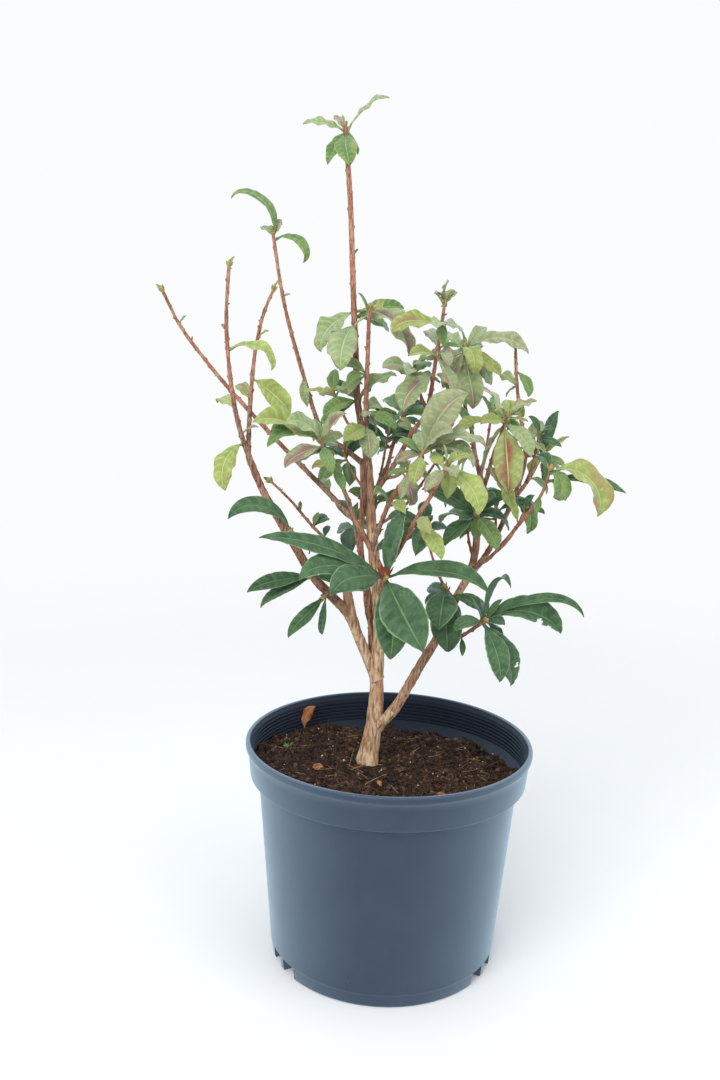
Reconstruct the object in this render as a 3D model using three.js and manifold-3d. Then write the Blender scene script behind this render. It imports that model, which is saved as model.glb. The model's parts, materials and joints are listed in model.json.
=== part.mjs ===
// A young azalea shrub in a plastic nursery pot, in millimetres, +Z up.
// The pot's axis is the Z axis and its underside rests on z = 0; the shrub's front looks towards -Y.
import * as THREE from 'three';
import { mergeVertices } from 'three/addons/utils/BufferGeometryUtils.js';
import Module from 'manifold-3d';

const wasm = await Module();
wasm.setup();

// Driving sizes of the pot and its filling.
const potRimRadius = 110;
const potHeight = 171.5;
const potBaseRadius = 87.5;
const potTopRadius = 99.5;
const potSides = 44;
const collarBottom = 145;
const wall = 1.6;
const footHeight = 10;
const footGapAngles = [60, 180, 300];
const footGapHalfWidth = 16.5;
const footRibHalfWidth = 2;
const footCutDepth = 24;
const drainRadius = 4;
const drainDepth = 12;
const gap = 0.3;
const soilLevel = 149;
const soilRadius = 99;
const soilSides = 30;
const trunkFoot = [-16, 4];

// Driving sizes of the shrub.
const seed = 2611;
const leafThickness = 0.9;
const leafStations = [[0, 0.16], [0.17, 0.24], [0.5, 1], [0.78, 0.74]];
const leafFold = 0.3;
const limbClearance = 2.6;
const leafClearance = 4.6;
const flareFade = 16;
const nudges = [0, 14, -14, 28, -28, 42, -42];
const faceLight = 0.55;

// Leaf kinds: width as a share of the length, how far the blade bends over in degrees, and, where it isn't
// faceLight, how far it turns its face to the front.
const leafKinds = {
  broad: { share: 0.46, bend: 20 },
  facing: { share: 0.48, bend: 20, turn: 1 },
  plain: { share: 0.37, bend: 30 },
  slim: { share: 0.25, bend: 26 },
  curl: { share: 0.34, bend: 90 },
  arch: { share: 0.32, bend: 120 },
  slimArch: { share: 0.24, bend: 96 },
  sweep: { share: 0.2, bend: 50 },
  ribbon: { share: 0.11, bend: 50 },
  bud: { share: 0.32, bend: 6 },
};

// The woody frame. A limb starts on its parent, at a share of the parent's length, and runs through bends.
const limbs = {
  trunk: {
    start: [...trunkFoot, soilLevel + gap],
    via: [[-13, 4, 172], [-11.2, 5, 190], [-10.8, 6, 208], [-10.8, 7, 230], [-10.5, 9, 255], [-13, 12, 285],
      [-17, 14, 316], [-20, 16, 347], [-22, 18, 371], [-25, 19, 393]],
    radii: [6.2, 3], flare: 2.7, sides: 10, steps: 16,
  },
  bough_left: {
    from: ['trunk', 0.34],
    via: [[-21.5, 4, 240], [-34, 1, 268], [-48, -3, 284], [-61, -8, 299], [-75, -14, 323], [-87, -20, 344],
      [-99, -25, 367], [-108, -30, 390]],
    radii: [4.2, 2.4], sides: 8, steps: 14,
  },
  bough_left_inner: {
    from: ['bough_left', 0.25],
    via: [[-38, 8, 291], [-42, 28, 310]],
    radii: [2.8, 1.5], sides: 6, steps: 5,
  },
  bough_right: {
    from: ['trunk', 0.11],
    via: [[4, -2, 197], [12.5, -4, 214], [23.5, -5, 236], [34, -4, 255], [46, 3, 282], [57, 8, 303],
      [60, 6, 324], [59, 4, 347], [63, 0, 369]],
    radii: [4.2, 2.2], sides: 8, steps: 14,
  },
  bough_right_back: {
    from: ['bough_right', 0.64],
    via: [[70, 22, 314], [80, 34, 330], [91, 46, 352]],
    radii: [2.3, 1.8], sides: 6, steps: 6,
  },
  bough_front: {
    from: ['trunk', 0.5],
    via: [[-10, -12, 284], [-10, -28, 306], [-19, -29, 325], [-31, -26, 345]],
    radii: [2.7, 2], sides: 6, steps: 8,
  },
};

// The masses of foliage. Each has one stem and the leaves on it; a leaf row is [clock, forward, length]:
// the clock heading seen from the front (0 up, 90 right), the lean towards the front in degrees, and mm.
const masses = {
  foliage_leader: {
    from: ['trunk', 1],
    via: [[-32, 18, 425], [-35, 16, 465], [-38, 13, 508], [-42, 9, 570], [-47, 5, 619]],
    radii: [2.7, 1.7],
    leaves: [
      [0.22, 'plain', [50, 10, 36], [300, -20, 28], [245, 35, 34], [235, 5, 34]],
      [0.5, 'broad', [200, 35, 42], [155, 40, 48]],
      [0.52, 'plain', [75, -15, 40], [105, -50, 44]],
      [0.54, 'broad', [224, 20, 42]],
      [0.54, 'curl', [128, 10, 60]],
      [0.68, 'bud', [35, -30, 8]],
      [0.97, 'broad', [170, 45, 35]],
      [0.98, 'slim', [48, 15, 40], [278, 10, 31]],
      [0.98, 'plain', [205, 15, 28], [140, -55, 26], [325, -40, 20]],
      [1, 'bud', [350, 5, 10]],
    ],
  },
  foliage_second_leader: {
    from: ['trunk', 0.95],
    via: [[-26, 10, 426], [-26, 2, 462], [-26, -4, 495]],
    radii: [2.1, 1.3],
    leaves: [
      [0.22, 'broad', [240, 55, 33], [170, 45, 31]],
      [0.3, 'plain', [115, 25, 29], [80, -65, 32]],
      [0.53, 'plain', [305, -55, 27]],
      [0.94, 'bud', [335, 10, 17], [45, -30, 17], [230, -30, 15]],
    ],
  },
  foliage_left_leader: {
    from: ['trunk', 0.93],
    via: [[-40, 24, 391], [-59, 29, 405], [-74, 33, 445], [-90, 39, 498], [-100, 45, 550]],
    radii: [2.1, 1.2],
    leaves: [
      [0.38, 'plain', [250, 65, 20], [30, -40, 23]],
      [0.6, 'bud', [170, 15, 24]],
      [0.82, 'bud', [65, -45, 8]],
      [0.97, 'slimArch', [316, 5, 57], [122, 15, 38]],
      [0.98, 'plain', [15, -30, 18], [305, -50, 22]],
    ],
  },
  foliage_twin_left: {
    from: ['bough_left', 1],
    via: [[-115, -36, 414], [-120, -42, 446], [-122, -48, 483], [-120, -52, 518]],
    radii: [1.9, 1.1],
    leaves: [
      [0.12, 'curl', [200, 25, 42]],
      [0.18, 'bud', [60, 20, 15]],
      [0.32, 'plain', [290, -55, 31]],
      [0.62, 'slimArch', [108, 5, 42]],
      [0.7, 'bud', [320, -35, 8]],
      [0.98, 'bud', [20, 5, 9]],
    ],
  },
  foliage_twin_right: {
    from: ['bough_left', 1],
    via: [[-108, -26, 418], [-106, -20, 456], [-101, -15, 486], [-94, -12, 505]],
    radii: [1.8, 1],
    leaves: [
      [0.32, 'plain', [310, -50, 26]],
      [0.42, 'broad', [128, 15, 38]],
      [0.63, 'bud', [55, 25, 10]],
      [0.98, 'bud', [25, 5, 9]],
    ],
  },
  foliage_left_fore: {
    from: ['bough_left', 0.68],
    via: [[-77, -22, 334], [-77, -27, 336]],
    radii: [1.7, 1.3],
    leaves: [[0.7, 'slimArch', [288, 15, 62]], [0.8, 'plain', [315, -30, 31], [150, -45, 29]]],
  },
  foliage_left_low: {
    from: ['bough_left', 0.5],
    via: [[-60, -15, 301], [-62, -20, 302]],
    radii: [1.8, 1.3],
    leaves: [
      [0.7, 'slim', [262, 20, 52], [242, 10, 46]],
      [0.8, 'plain', [120, -45, 34], [230, -45, 40]],
    ],
  },
  foliage_left_foot: {
    from: ['bough_left', 0.4],
    via: [[-50, -10, 287], [-52, -15, 286]],
    radii: [1.7, 1.2],
    leaves: [[0.7, 'plain', [100, -45, 30]], [0.7, 'slim', [226, 20, 44]], [0.8, 'sweep', [186, 5, 34]]],
  },
  foliage_left_inner: {
    from: ['bough_left_inner', 1],
    via: [[-64, 30, 330], [-80, 26, 349], [-96, 22, 365]],
    radii: [1.3, 0.9],
    leaves: [
      [0.2, 'plain', [230, -45, 23]],
      [0.33, 'plain', [65, -55, 23]],
      [0.53, 'bud', [0, 15, 10]],
      [0.93, 'bud', [300, -20, 11]],
    ],
  },
  foliage_far_left: {
    from: ['bough_front', 1],
    via: [[-53, -16, 365], [-92, 0, 400], [-133, 16, 440], [-164, 26, 476], [-180, 32, 504]],
    radii: [2.1, 1],
    leaves: [
      [0.18, 'plain', [315, -55, 22]],
      [0.42, 'plain', [60, -50, 20]],
      [0.6, 'bud', [315, 40, 9]],
      [0.83, 'bud', [45, 25, 9]],
      [0.98, 'bud', [320, 0, 9]],
    ],
  },
  foliage_centre_left: {
    from: ['bough_front', 1],
    via: [[-39, -32, 366], [-49, -36, 387], [-57, -40, 403]],
    radii: [1.7, 1.3],
    leaves: [
      [0.65, 'plain', [150, 25, 22], [265, 20, 16]],
      [0.9, 'plain', [245, 30, 34], [150, 55, 31], [92, -65, 30]],
      [0.96, 'curl', [265, 20, 44]],
      [0.97, 'plain', [290, 0, 52], [35, 15, 29], [310, -55, 31]],
    ],
  },
  foliage_front_right: {
    from: ['bough_front', 0.5],
    via: [[0, -38, 326], [12, -50, 353], [22, -58, 373], [30, -64, 392]],
    radii: [1.9, 1.3],
    leaves: [
      [0.48, 'plain', [140, 25, 35]],
      [0.94, 'plain', [230, 45, 28], [305, -45, 24]],
      [0.98, 'broad', [140, 36, 44]],
      [0.98, 'plain', [55, 40, 22]],
      [1, 'bud', [350, 10, 15], [30, -25, 14]],
    ],
  },
  foliage_centre_right: {
    from: ['bough_front', 0.75],
    via: [[-8, -36, 359], [3, -42, 379], [15, -48, 399]],
    radii: [1.8, 1.3],
    leaves: [
      [0.35, 'plain', [315, 45, 23], [105, 60, 23]],
      [0.75, 'plain', [205, 45, 26]],
      [0.93, 'plain', [200, 50, 29], [305, 15, 21], [40, -55, 31]],
      [0.98, 'facing', [30, 12, 52]],
      [0.98, 'curl', [80, 10, 48]],
    ],
  },
  foliage_centre_low: {
    from: ['bough_front', 0.5],
    via: [[-9, -34, 306], [-8, -39, 307]],
    radii: [2, 1.5],
    leaves: [
      [0.6, 'sweep', [289, 10, 98], [90, 15, 80]],
      [0.6, 'slim', [30, 5, 50], [150, 25, 57]],
      [0.7, 'plain', [280, 25, 70], [275, 50, 62]],
      [0.8, 'broad', [160, 40, 62], [140, 35, 64]],
      [0.8, 'facing', [15, 10, 55]],
    ],
  },
  foliage_tall_right: {
    from: ['trunk', 0.83],
    via: [[-5, 16, 379], [8, 13, 405], [19, 9, 424], [23, 2, 457], [26, -5, 485], [27, -10, 500]],
    radii: [2, 1.1],
    leaves: [
      [0.35, 'plain', [295, -55, 22], [120, -50, 28]],
      [0.63, 'broad', [225, 30, 40]],
      [0.7, 'plain', [270, 40, 27], [150, 20, 34]],
      [0.73, 'plain', [80, 20, 16], [330, -60, 33]],
      [0.84, 'plain', [265, 5, 39], [100, -55, 31]],
      [0.97, 'bud', [25, 10, 13], [325, 20, 13]],
    ],
  },
  foliage_back_centre: {
    from: ['trunk', 0.83],
    via: [[-9, 32, 376], [-4, 46, 394], [4, 60, 417]],
    radii: [1.8, 1.2],
    leaves: [
      [0.63, 'plain', [245, -60, 26]],
      [0.92, 'plain', [255, -30, 24], [110, -30, 28]],
      [0.97, 'plain', [305, -55, 34], [70, -55, 36], [190, -55, 42]],
      [0.98, 'broad', [15, 0, 22]],
    ],
  },
  foliage_back_low: {
    from: ['trunk', 0.44],
    via: [[-20, 22, 265], [-24, 40, 291], [-33, 64, 330]],
    radii: [1.7, 1.2],
    leaves: [
      [0.67, 'plain', [225, -50, 20]],
      [0.94, 'plain', [110, -60, 37], [240, -55, 30], [5, 20, 23]],
      [0.97, 'plain', [315, -40, 30], [50, -35, 26], [185, -45, 42]],
    ],
  },
  foliage_upper_right: {
    from: ['bough_right', 1],
    via: [[58, 18, 387], [55, 30, 407], [49, 38, 430], [48, 44, 470]],
    radii: [1.9, 1.2],
    leaves: [
      [0.33, 'plain', [205, -50, 29]],
      [0.57, 'plain', [240, -50, 21]],
      [0.96, 'broad', [168, 28, 47]],
      [0.97, 'plain', [210, 20, 35], [120, 5, 34], [315, -50, 32], [40, -35, 33]],
      [0.98, 'curl', [90, 10, 54]],
      [1, 'bud', [350, 5, 15]],
    ],
  },
  foliage_right_inner: {
    from: ['bough_right', 1],
    via: [[67, -8, 391], [71, -15, 408], [74, -22, 423]],
    radii: [1.7, 1.2],
    leaves: [
      [0.25, 'slim', [155, 20, 45]],
      [0.85, 'broad', [175, 25, 52]],
      [0.88, 'plain', [275, 35, 25]],
      [0.94, 'plain', [320, 25, 34], [60, -20, 28], [350, -70, 30]],
    ],
  },
  foliage_right_mid: {
    from: ['bough_right', 0.87],
    via: [[57, -1, 348], [57, -6, 350]],
    radii: [1.7, 1.3],
    leaves: [
      [0.6, 'broad', [295, -10, 44], [230, 20, 34], [145, 35, 34]],
      [0.8, 'plain', [60, -50, 32], [300, -65, 31]],
    ],
  },
  foliage_right_fork: {
    from: ['bough_right', 0.55],
    via: [[41, -6, 288], [37, -12, 295]],
    radii: [1.8, 1.3],
    leaves: [[0.5, 'plain', [125, -45, 36], [265, -60, 32]], [0.95, 'broad', [176, 25, 50]]],
  },
  foliage_right_tall: {
    from: ['bough_right_back', 1],
    via: [[99, 50, 378], [99, 50, 396], [93, 50, 425], [89, 49, 450], [87, 48, 472]],
    radii: [1.8, 1.1],
    leaves: [
      [0.06, 'curl', [160, 15, 38]],
      [0.25, 'plain', [205, -55, 29]],
      [0.43, 'plain', [60, -45, 34]],
      [0.73, 'plain', [315, -60, 29]],
      [0.83, 'plain', [150, 20, 24]],
      [0.98, 'bud', [345, -15, 12], [45, -50, 15]],
    ],
  },
  foliage_right_rear: {
    from: ['bough_right_back', 1],
    via: [[106, 62, 369], [117, 76, 386]],
    radii: [1.7, 1.2],
    leaves: [
      [0.52, 'plain', [125, -30, 26]],
      [0.94, 'slim', [16, -10, 42]],
      [0.94, 'plain', [320, 15, 28], [120, -45, 35], [200, -60, 30], [25, -55, 36]],
      [0.95, 'slim', [50, 5, 28]],
    ],
  },
  foliage_right_out: {
    from: ['bough_right', 0.68],
    via: [[71, -3, 318], [88, -22, 347], [99, -36, 369], [103, -44, 388]],
    radii: [1.5, 1],
    leaves: [
      [0.5, 'plain', [305, -40, 16]],
      [0.75, 'bud', [200, 30, 15]],
      [0.88, 'sweep', [96, 15, 56]],
      [0.9, 'plain', [135, -40, 33]],
      [0.97, 'arch', [130, 20, 60]],
      [0.97, 'plain', [330, -65, 27]],
      [1, 'bud', [10, 5, 8]],
    ],
  },
  foliage_right_low: {
    from: ['bough_right', 0.44],
    via: [[39, -14, 253], [49, -24, 261], [64, -38, 277]],
    radii: [1.7, 1.2],
    leaves: [
      [0.68, 'bud', [185, 30, 15]],
      [0.96, 'broad', [160, 25, 45], [335, 10, 24]],
      [0.97, 'plain', [150, 0, 54], [265, 30, 27], [315, -70, 31], [140, -45, 41]],
      [0.97, 'curl', [93, 10, 66]],
      [1, 'ribbon', [74, 14, 80]],
      [1, 'bud', [30, 10, 22]],
    ],
  },
};

const makeRandom = (start) => {
  let state = start >>> 0;
  return () => {
    state = (state + 0x6d2b79f5) >>> 0;
    let mixed = Math.imul(state ^ (state >>> 15), state | 1);
    mixed ^= mixed + Math.imul(mixed ^ (mixed >>> 7), mixed | 61);
    return ((mixed ^ (mixed >>> 14)) >>> 0) / 4294967296;
  };
};

const toRadians = (degrees) => (degrees * Math.PI) / 180;
const toDegrees = (radians) => (radians * 180) / Math.PI;
const vector = (p) => new THREE.Vector3(p[0], p[1], p[2]);
const mix = (a, b, share) => a + (b - a) * share;

// A smooth curve through the points, read at a share of its run.
const curvePoint = (points, share) => {
  const spans = points.length - 1;
  const position = Math.min(Math.max(share, 0), 1) * spans;
  const index = Math.min(Math.floor(position), spans - 1);
  const t = position - index;
  const [a, b, c, d] = [index - 1, index, index + 1, index + 2]
    .map((i) => points[Math.min(Math.max(i, 0), spans)]);
  const along = (p, q, r, s) => 0.5 * (2 * q + (r - p) * t + (2 * p - 5 * q + 4 * r - s) * t * t
    + (3 * q - p - 3 * r + s) * t * t * t);
  return new THREE.Vector3(along(a.x, b.x, c.x, d.x), along(a.y, b.y, c.y, d.y), along(a.z, b.z, c.z, d.z));
};

const geometryFrom = (positions, faces) => {
  const geometry = new THREE.BufferGeometry();
  const flat = positions.flatMap((p) => [p.x, p.y, p.z]);
  geometry.setAttribute('position', new THREE.Float32BufferAttribute(flat, 3));
  geometry.setIndex(faces.flat());
  return geometry;
};

// Stacks rings of equal length into a closed skin; its ends are fans round a corner or a tip point.
const skin = (rings, tip) => {
  const count = rings[0].length;
  const positions = rings.flat();
  const faces = [];
  for (let i = 2; i < count; i += 1) {
    faces.push([0, i, i - 1]);
  }
  for (let r = 0; r + 1 < rings.length; r += 1) {
    for (let i = 0; i < count; i += 1) {
      const low = r * count + i;
      const lowNext = r * count + ((i + 1) % count);
      faces.push([low, lowNext, low + count], [lowNext, lowNext + count, low + count]);
    }
  }
  const last = (rings.length - 1) * count;
  if (tip) {
    positions.push(tip);
    for (let i = 0; i < count; i += 1) {
      faces.push([last + i, last + ((i + 1) % count), positions.length - 1]);
    }
  } else {
    for (let i = 2; i < count; i += 1) {
      faces.push([last, last + i - 1, last + i]);
    }
  }
  return geometryFrom(positions, faces);
};

const toSolid = (geometry) => {
  const bare = geometry.clone();
  bare.deleteAttribute('normal');
  bare.deleteAttribute('uv');
  const merged = mergeVertices(bare, 1e-5);
  const mesh = new wasm.Mesh({
    numProp: 3,
    vertProperties: new Float32Array(merged.getAttribute('position').array),
    triVerts: new Uint32Array(merged.getIndex().array),
  });
  return new wasm.Manifold(mesh);
};

const toGeometry = (solid) => {
  const mesh = solid.getMesh();
  const geometry = new THREE.BufferGeometry();
  geometry.setAttribute('position', new THREE.Float32BufferAttribute(mesh.vertProperties, 3));
  geometry.setIndex(Array.from(mesh.triVerts));
  geometry.computeVertexNormals();
  return geometry;
};

// Keeps the largest piece, so that a cut leaves no loose scrap.
const largestPiece = (solid) => solid.decompose().reduce((best, piece) => (
  piece.volume() > best.volume() ? piece : best));

const limbPoints = (limb, known) => {
  const first = limb.from ? curvePoint(known[limb.from[0]].points, limb.from[1]) : vector(limb.start);
  return [first, ...limb.via.map(vector)];
};

const limbRadius = (limb, share, length) => mix(limb.radii[0], limb.radii[1], share)
  + (limb.flare || 0) * Math.exp((-share * length) / flareFade);

// One tapering limb; extra fattens it all round and lengthens its ends, for cutting its neighbours.
const limbSolid = (limb, points, extra) => {
  const steps = limb.steps || 2 + points.length;
  const sides = limb.sides || 5;
  const centres = Array.from({ length: steps + 1 }, (_, i) => curvePoint(points, i / steps));
  const length = centres.slice(1).reduce((sum, c, i) => sum + c.distanceTo(centres[i]), 0);
  let across = new THREE.Vector3(0, 1, 0);
  const rings = centres.map((centre, i) => {
    const ahead = centres[Math.min(i + 1, steps)].clone().sub(centres[Math.max(i - 1, 0)]).normalize();
    across = across.clone().addScaledVector(ahead, -across.dot(ahead)).normalize();
    const side = new THREE.Vector3().crossVectors(ahead, across);
    const radius = limbRadius(limb, i / steps, length) + extra;
    const pushed = (i === 0 ? -extra : 0) + (i === steps ? extra : 0);
    const middle = centre.clone().addScaledVector(ahead, pushed);
    return Array.from({ length: sides }, (_, k) => {
      const angle = (2 * Math.PI * k) / sides;
      const corner = middle.clone().addScaledVector(across, radius * Math.cos(angle))
        .addScaledVector(side, radius * Math.sin(angle));
      if (limb.flare && i === 0) {
        corner.z = limb.start[2] - extra;
      }
      return corner;
    });
  });
  return toSolid(skin(rings));
};

const capsules = (limb, points) => {
  const steps = 3 * points.length;
  return Array.from({ length: steps }, (_, i) => ({
    a: curvePoint(points, i / steps),
    b: curvePoint(points, (i + 1) / steps),
    radius: mix(limb.radii[0], limb.radii[1], i / steps),
  }));
};

const distanceToCapsule = (p, capsule) => {
  const run = capsule.b.clone().sub(capsule.a);
  const share = Math.min(Math.max(p.clone().sub(capsule.a).dot(run) / run.lengthSq(), 0), 1);
  return p.distanceTo(capsule.a.clone().addScaledVector(run, share)) - capsule.radius;
};

// The leaf's midrib is an arc along its heading; each share of it has a way ahead, a side and a face.
const leafFrame = (leaf, share) => {
  const ahead = leaf.chord.clone().applyAxisAngle(leaf.side, toRadians(leaf.bend * (0.5 - share)));
  const face = new THREE.Vector3().crossVectors(leaf.side, ahead);
  const side = leaf.side.clone().applyAxisAngle(ahead, toRadians(leaf.roll));
  return { ahead, side, face: face.applyAxisAngle(ahead, toRadians(leaf.roll)) };
};

const leafMidrib = (leaf, share) => {
  const parts = 12;
  const point = leaf.root.clone();
  for (let i = 0; i < parts; i += 1) {
    const { ahead } = leafFrame(leaf, (share * (i + 0.5)) / parts);
    point.addScaledVector(ahead, (share * leaf.length) / parts);
  }
  return point;
};

const leafSolid = (leaf) => {
  const rings = leafStations.map(([share, spread]) => {
    const { side, face } = leafFrame(leaf, share);
    const middle = leafMidrib(leaf, share);
    const half = Math.max((leaf.width / 2) * spread, 0.75);
    const lift = half * leafFold;
    const edge = (way) => middle.clone().addScaledVector(side, way * half).addScaledVector(face, lift);
    return [edge(1), middle.clone().addScaledVector(face, -leafThickness / 2), edge(-1),
      middle.clone().addScaledVector(face, leafThickness / 2)];
  });
  return toSolid(skin(rings, leafMidrib(leaf, 1)));
};

const leafSamples = (leaf) => {
  const samples = [];
  for (let i = 2; i <= 10; i += 1) {
    const share = i / 10;
    const { side, face } = leafFrame(leaf, share);
    const half = (leaf.width / 2) * Math.sin(Math.PI * Math.min(share * 0.95, 1));
    [-0.85, 0, 0.85].forEach((way) => samples.push(leafMidrib(leaf, share)
      .addScaledVector(side, way * half).addScaledVector(face, Math.abs(way) * half * leafFold)));
  }
  return samples;
};

// The level way across a heading; a nearly upright heading counts as leaning to the front.
const levelSide = (chord) => {
  const level = new THREE.Vector3(chord.x, chord.y, 0);
  if (level.length() < 0.25) {
    level.set(chord.x, -0.3, 0);
  }
  const side = new THREE.Vector3(level.y, -level.x, 0).normalize();
  return side.addScaledVector(chord, -side.dot(chord)).normalize();
};

// Blades roll part of the way towards the front, where the light falls on them.
const setHeading = (leaf, chord) => {
  leaf.chord = chord;
  leaf.side = levelSide(chord);
  const faceForward = -new THREE.Vector3().crossVectors(leaf.side, chord).y;
  leaf.roll = leaf.turn * toDegrees(Math.atan2(-leaf.side.y, Math.max(faceForward, 0.2))) + leaf.jitter;
};

const makeLeaf = (root, kind, clock, forward, length, random) => {
  const flat = Math.cos(toRadians(forward));
  const chord = new THREE.Vector3(Math.sin(toRadians(clock)) * flat, -Math.sin(toRadians(forward)),
    Math.cos(toRadians(clock)) * flat);
  const { share, bend, turn = faceLight } = leafKinds[kind];
  return {
    root, chord, length, turn,
    width: length * share * mix(0.92, 1.08, random()),
    bend: bend * mix(0.8, 1.2, random()),
    jitter: mix(-14, 14, random()),
  };
};

const isClear = (samples, ownName, known, leafPoints) => {
  const nearLimb = (limb) => limb.capsules.some((capsule) => (
    samples.some((p) => distanceToCapsule(p, capsule) < limbClearance)));
  const hitsLimb = Object.entries(known).some(([name, limb]) => name !== ownName && nearLimb(limb));
  const hitsLeaf = leafPoints.some((other) => other.mass !== ownName
    && samples.some((p) => p.distanceToSquared(other.point) < leafClearance * leafClearance));
  return !hitsLimb && !hitsLeaf;
};

// A closed ring of profile corners [radius, height], turned round the Z axis.
const revolve = (profile, sides) => {
  const onAxis = (p) => p[0] === 0;
  const starts = [];
  const positions = [];
  profile.forEach((p) => {
    starts.push(positions.length);
    const copies = onAxis(p) ? 1 : sides;
    for (let k = 0; k < copies; k += 1) {
      const angle = (2 * Math.PI * k) / sides;
      positions.push(new THREE.Vector3(p[0] * Math.cos(angle), p[0] * Math.sin(angle), p[1]));
    }
  });
  const faces = [];
  for (let i = 0; i + 1 < profile.length; i += 1) {
    for (let k = 0; k < sides; k += 1) {
      const next = (k + 1) % sides;
      const corners = (row) => [k, next].map((turn) => starts[row] + (onAxis(profile[row]) ? 0 : turn));
      const low = corners(i);
      const high = corners(i + 1);
      if (low[0] !== low[1]) {
        faces.push([low[0], low[1], high[0]]);
      }
      if (high[0] !== high[1]) {
        faces.push([low[1], high[1], high[0]]);
      }
    }
  }
  return geometryFrom(positions, faces);
};

// Outer radius of the pot's tapering body at a height; the collar steps out above it.
const bodyRadius = (z) => mix(potBaseRadius, potTopRadius, z / (collarBottom - 2));

const makePot = () => {
  const profile = [
    [0, 0], [potBaseRadius - 1.2, 0], [potBaseRadius, 1.2], [bodyRadius(9), 9], [bodyRadius(143), 143],
    [105.4, collarBottom - 0.4], [106, collarBottom + 0.4], [108.2, 165.4], [109.6, 166.8],
    [potRimRadius, 168.4], [potRimRadius - 0.2, 170.4], [potRimRadius - 1.3, potHeight],
    [potRimRadius - 3, potHeight - 0.4],
    [potRimRadius - 3.6, 169], [106, 167], [105.2, 166.6], [104.2, 147.4], [103.4, 146.6],
    [bodyRadius(141.6) - wall, 141.6], [bodyRadius(13.5) - wall, 13.5], [72, 12.4], [66, 2.6], [0, 2.6],
  ];
  let pot = toSolid(revolve(profile, potSides));
  footGapAngles.forEach((degrees) => {
    const turn = (solid) => solid.applyMatrix4(new THREE.Matrix4().makeRotationZ(toRadians(degrees)));
    [-1, 1].forEach((way) => {
      const half = (footGapHalfWidth - footRibHalfWidth) / 2;
      const across = way * (half + footRibHalfWidth);
      const notch = new THREE.BoxGeometry(half * 2, footCutDepth, footHeight * 2)
        .translate(across, -(potBaseRadius - 1.5), 0);
      const drain = new THREE.CylinderGeometry(drainRadius, drainRadius, drainDepth, 12)
        .rotateX(Math.PI / 2)
        .translate(across, -(potBaseRadius - 8.5), footHeight + 2);
      pot = pot.subtract(toSolid(turn(notch))).subtract(toSolid(turn(drain)));
    });
  });
  return pot;
};

// Height of the soil's surface: level round the trunk's foot, low at the back right, in soft mounds.
const soilHeight = (x, y) => {
  const fromTrunk = Math.hypot(x - trunkFoot[0], y - trunkFoot[1]);
  const away = Math.min(Math.max((fromTrunk - 14) / 40, 0), 1);
  const lean = -0.05 * x - 0.065 * y;
  const mounds = 2.2 * Math.sin(x * 0.06 + 1.1) * Math.cos(y * 0.055 - 0.4)
    + 1.1 * Math.sin(x * 0.13 - y * 0.11);
  return soilLevel + away * (lean + mounds - 0.6);
};

const makeSoil = () => {
  const wallRadius = (z) => bodyRadius(z) - wall - gap;
  const topRadii = [14, 30, 50, 72];
  // Rings widen from the trunk's foot to the pot's wall.
  const ring = (radius) => Array.from({ length: soilSides }, (_, k) => {
    const angle = (2 * Math.PI * k) / soilSides;
    const nearFoot = 1 - radius / soilRadius;
    const x = trunkFoot[0] * nearFoot + radius * Math.cos(angle);
    const y = trunkFoot[1] * nearFoot + radius * Math.sin(angle);
    return new THREE.Vector3(x, y, soilHeight(x, y));
  });
  const placed = (p, radius, height) => new THREE.Vector3(p.x, p.y, 0).setLength(radius).setZ(height);
  const round = (radius, height) => ring(soilRadius).map((p) => placed(p, radius, height));
  const edgeRadius = (z) => Math.min(wallRadius(z), 97.2);
  const edge = ring(soilRadius).map((p) => placed(p, edgeRadius(p.z), Math.min(p.z, 160)));
  const under = [
    round(65.6, 2.9), round(71.6, 12.7), round(wallRadius(13.8) - 0.4, 13.8),
    round(wallRadius(135) - gap, 135),
  ];
  return toSolid(skin([...under, edge, ...topRadii.reverse().map(ring)]));
};

const group = new THREE.Group();
group.name = 'azalea_shrub_in_pot';

const addMesh = (name, solid, colour, roughness) => {
  const material = new THREE.MeshStandardMaterial({ color: colour, roughness, metalness: 0 });
  material.name = name;
  const mesh = new THREE.Mesh(toGeometry(solid), material);
  mesh.name = name;
  group.add(mesh);
};

addMesh('pot', makePot(), '#4a525c', 0.6);
addMesh('soil', makeSoil(), '#4b3424', 0.95);

const known = {};
const cutters = {};
[...Object.entries(limbs), ...Object.entries(masses)].forEach(([name, limb]) => {
  const points = limbPoints(limb, known);
  known[name] = { limb, points, capsules: capsules(limb, points) };
});

const cutStem = (name) => {
  const { limb, points } = known[name];
  const box = new THREE.Box3().setFromPoints(points).expandByScalar(8);
  const solid = Object.values(cutters).filter((other) => other.box.intersectsBox(box))
    .reduce((rest, other) => rest.subtract(other.solid), limbSolid(limb, points, 0));
  cutters[name] = { solid: limbSolid(limb, points, gap), box };
  return largestPiece(solid);
};

Object.keys(limbs).forEach((name) => {
  addMesh(name, cutStem(name), name === 'trunk' ? '#8c7660' : '#7c5f49', 0.85);
});

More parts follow.
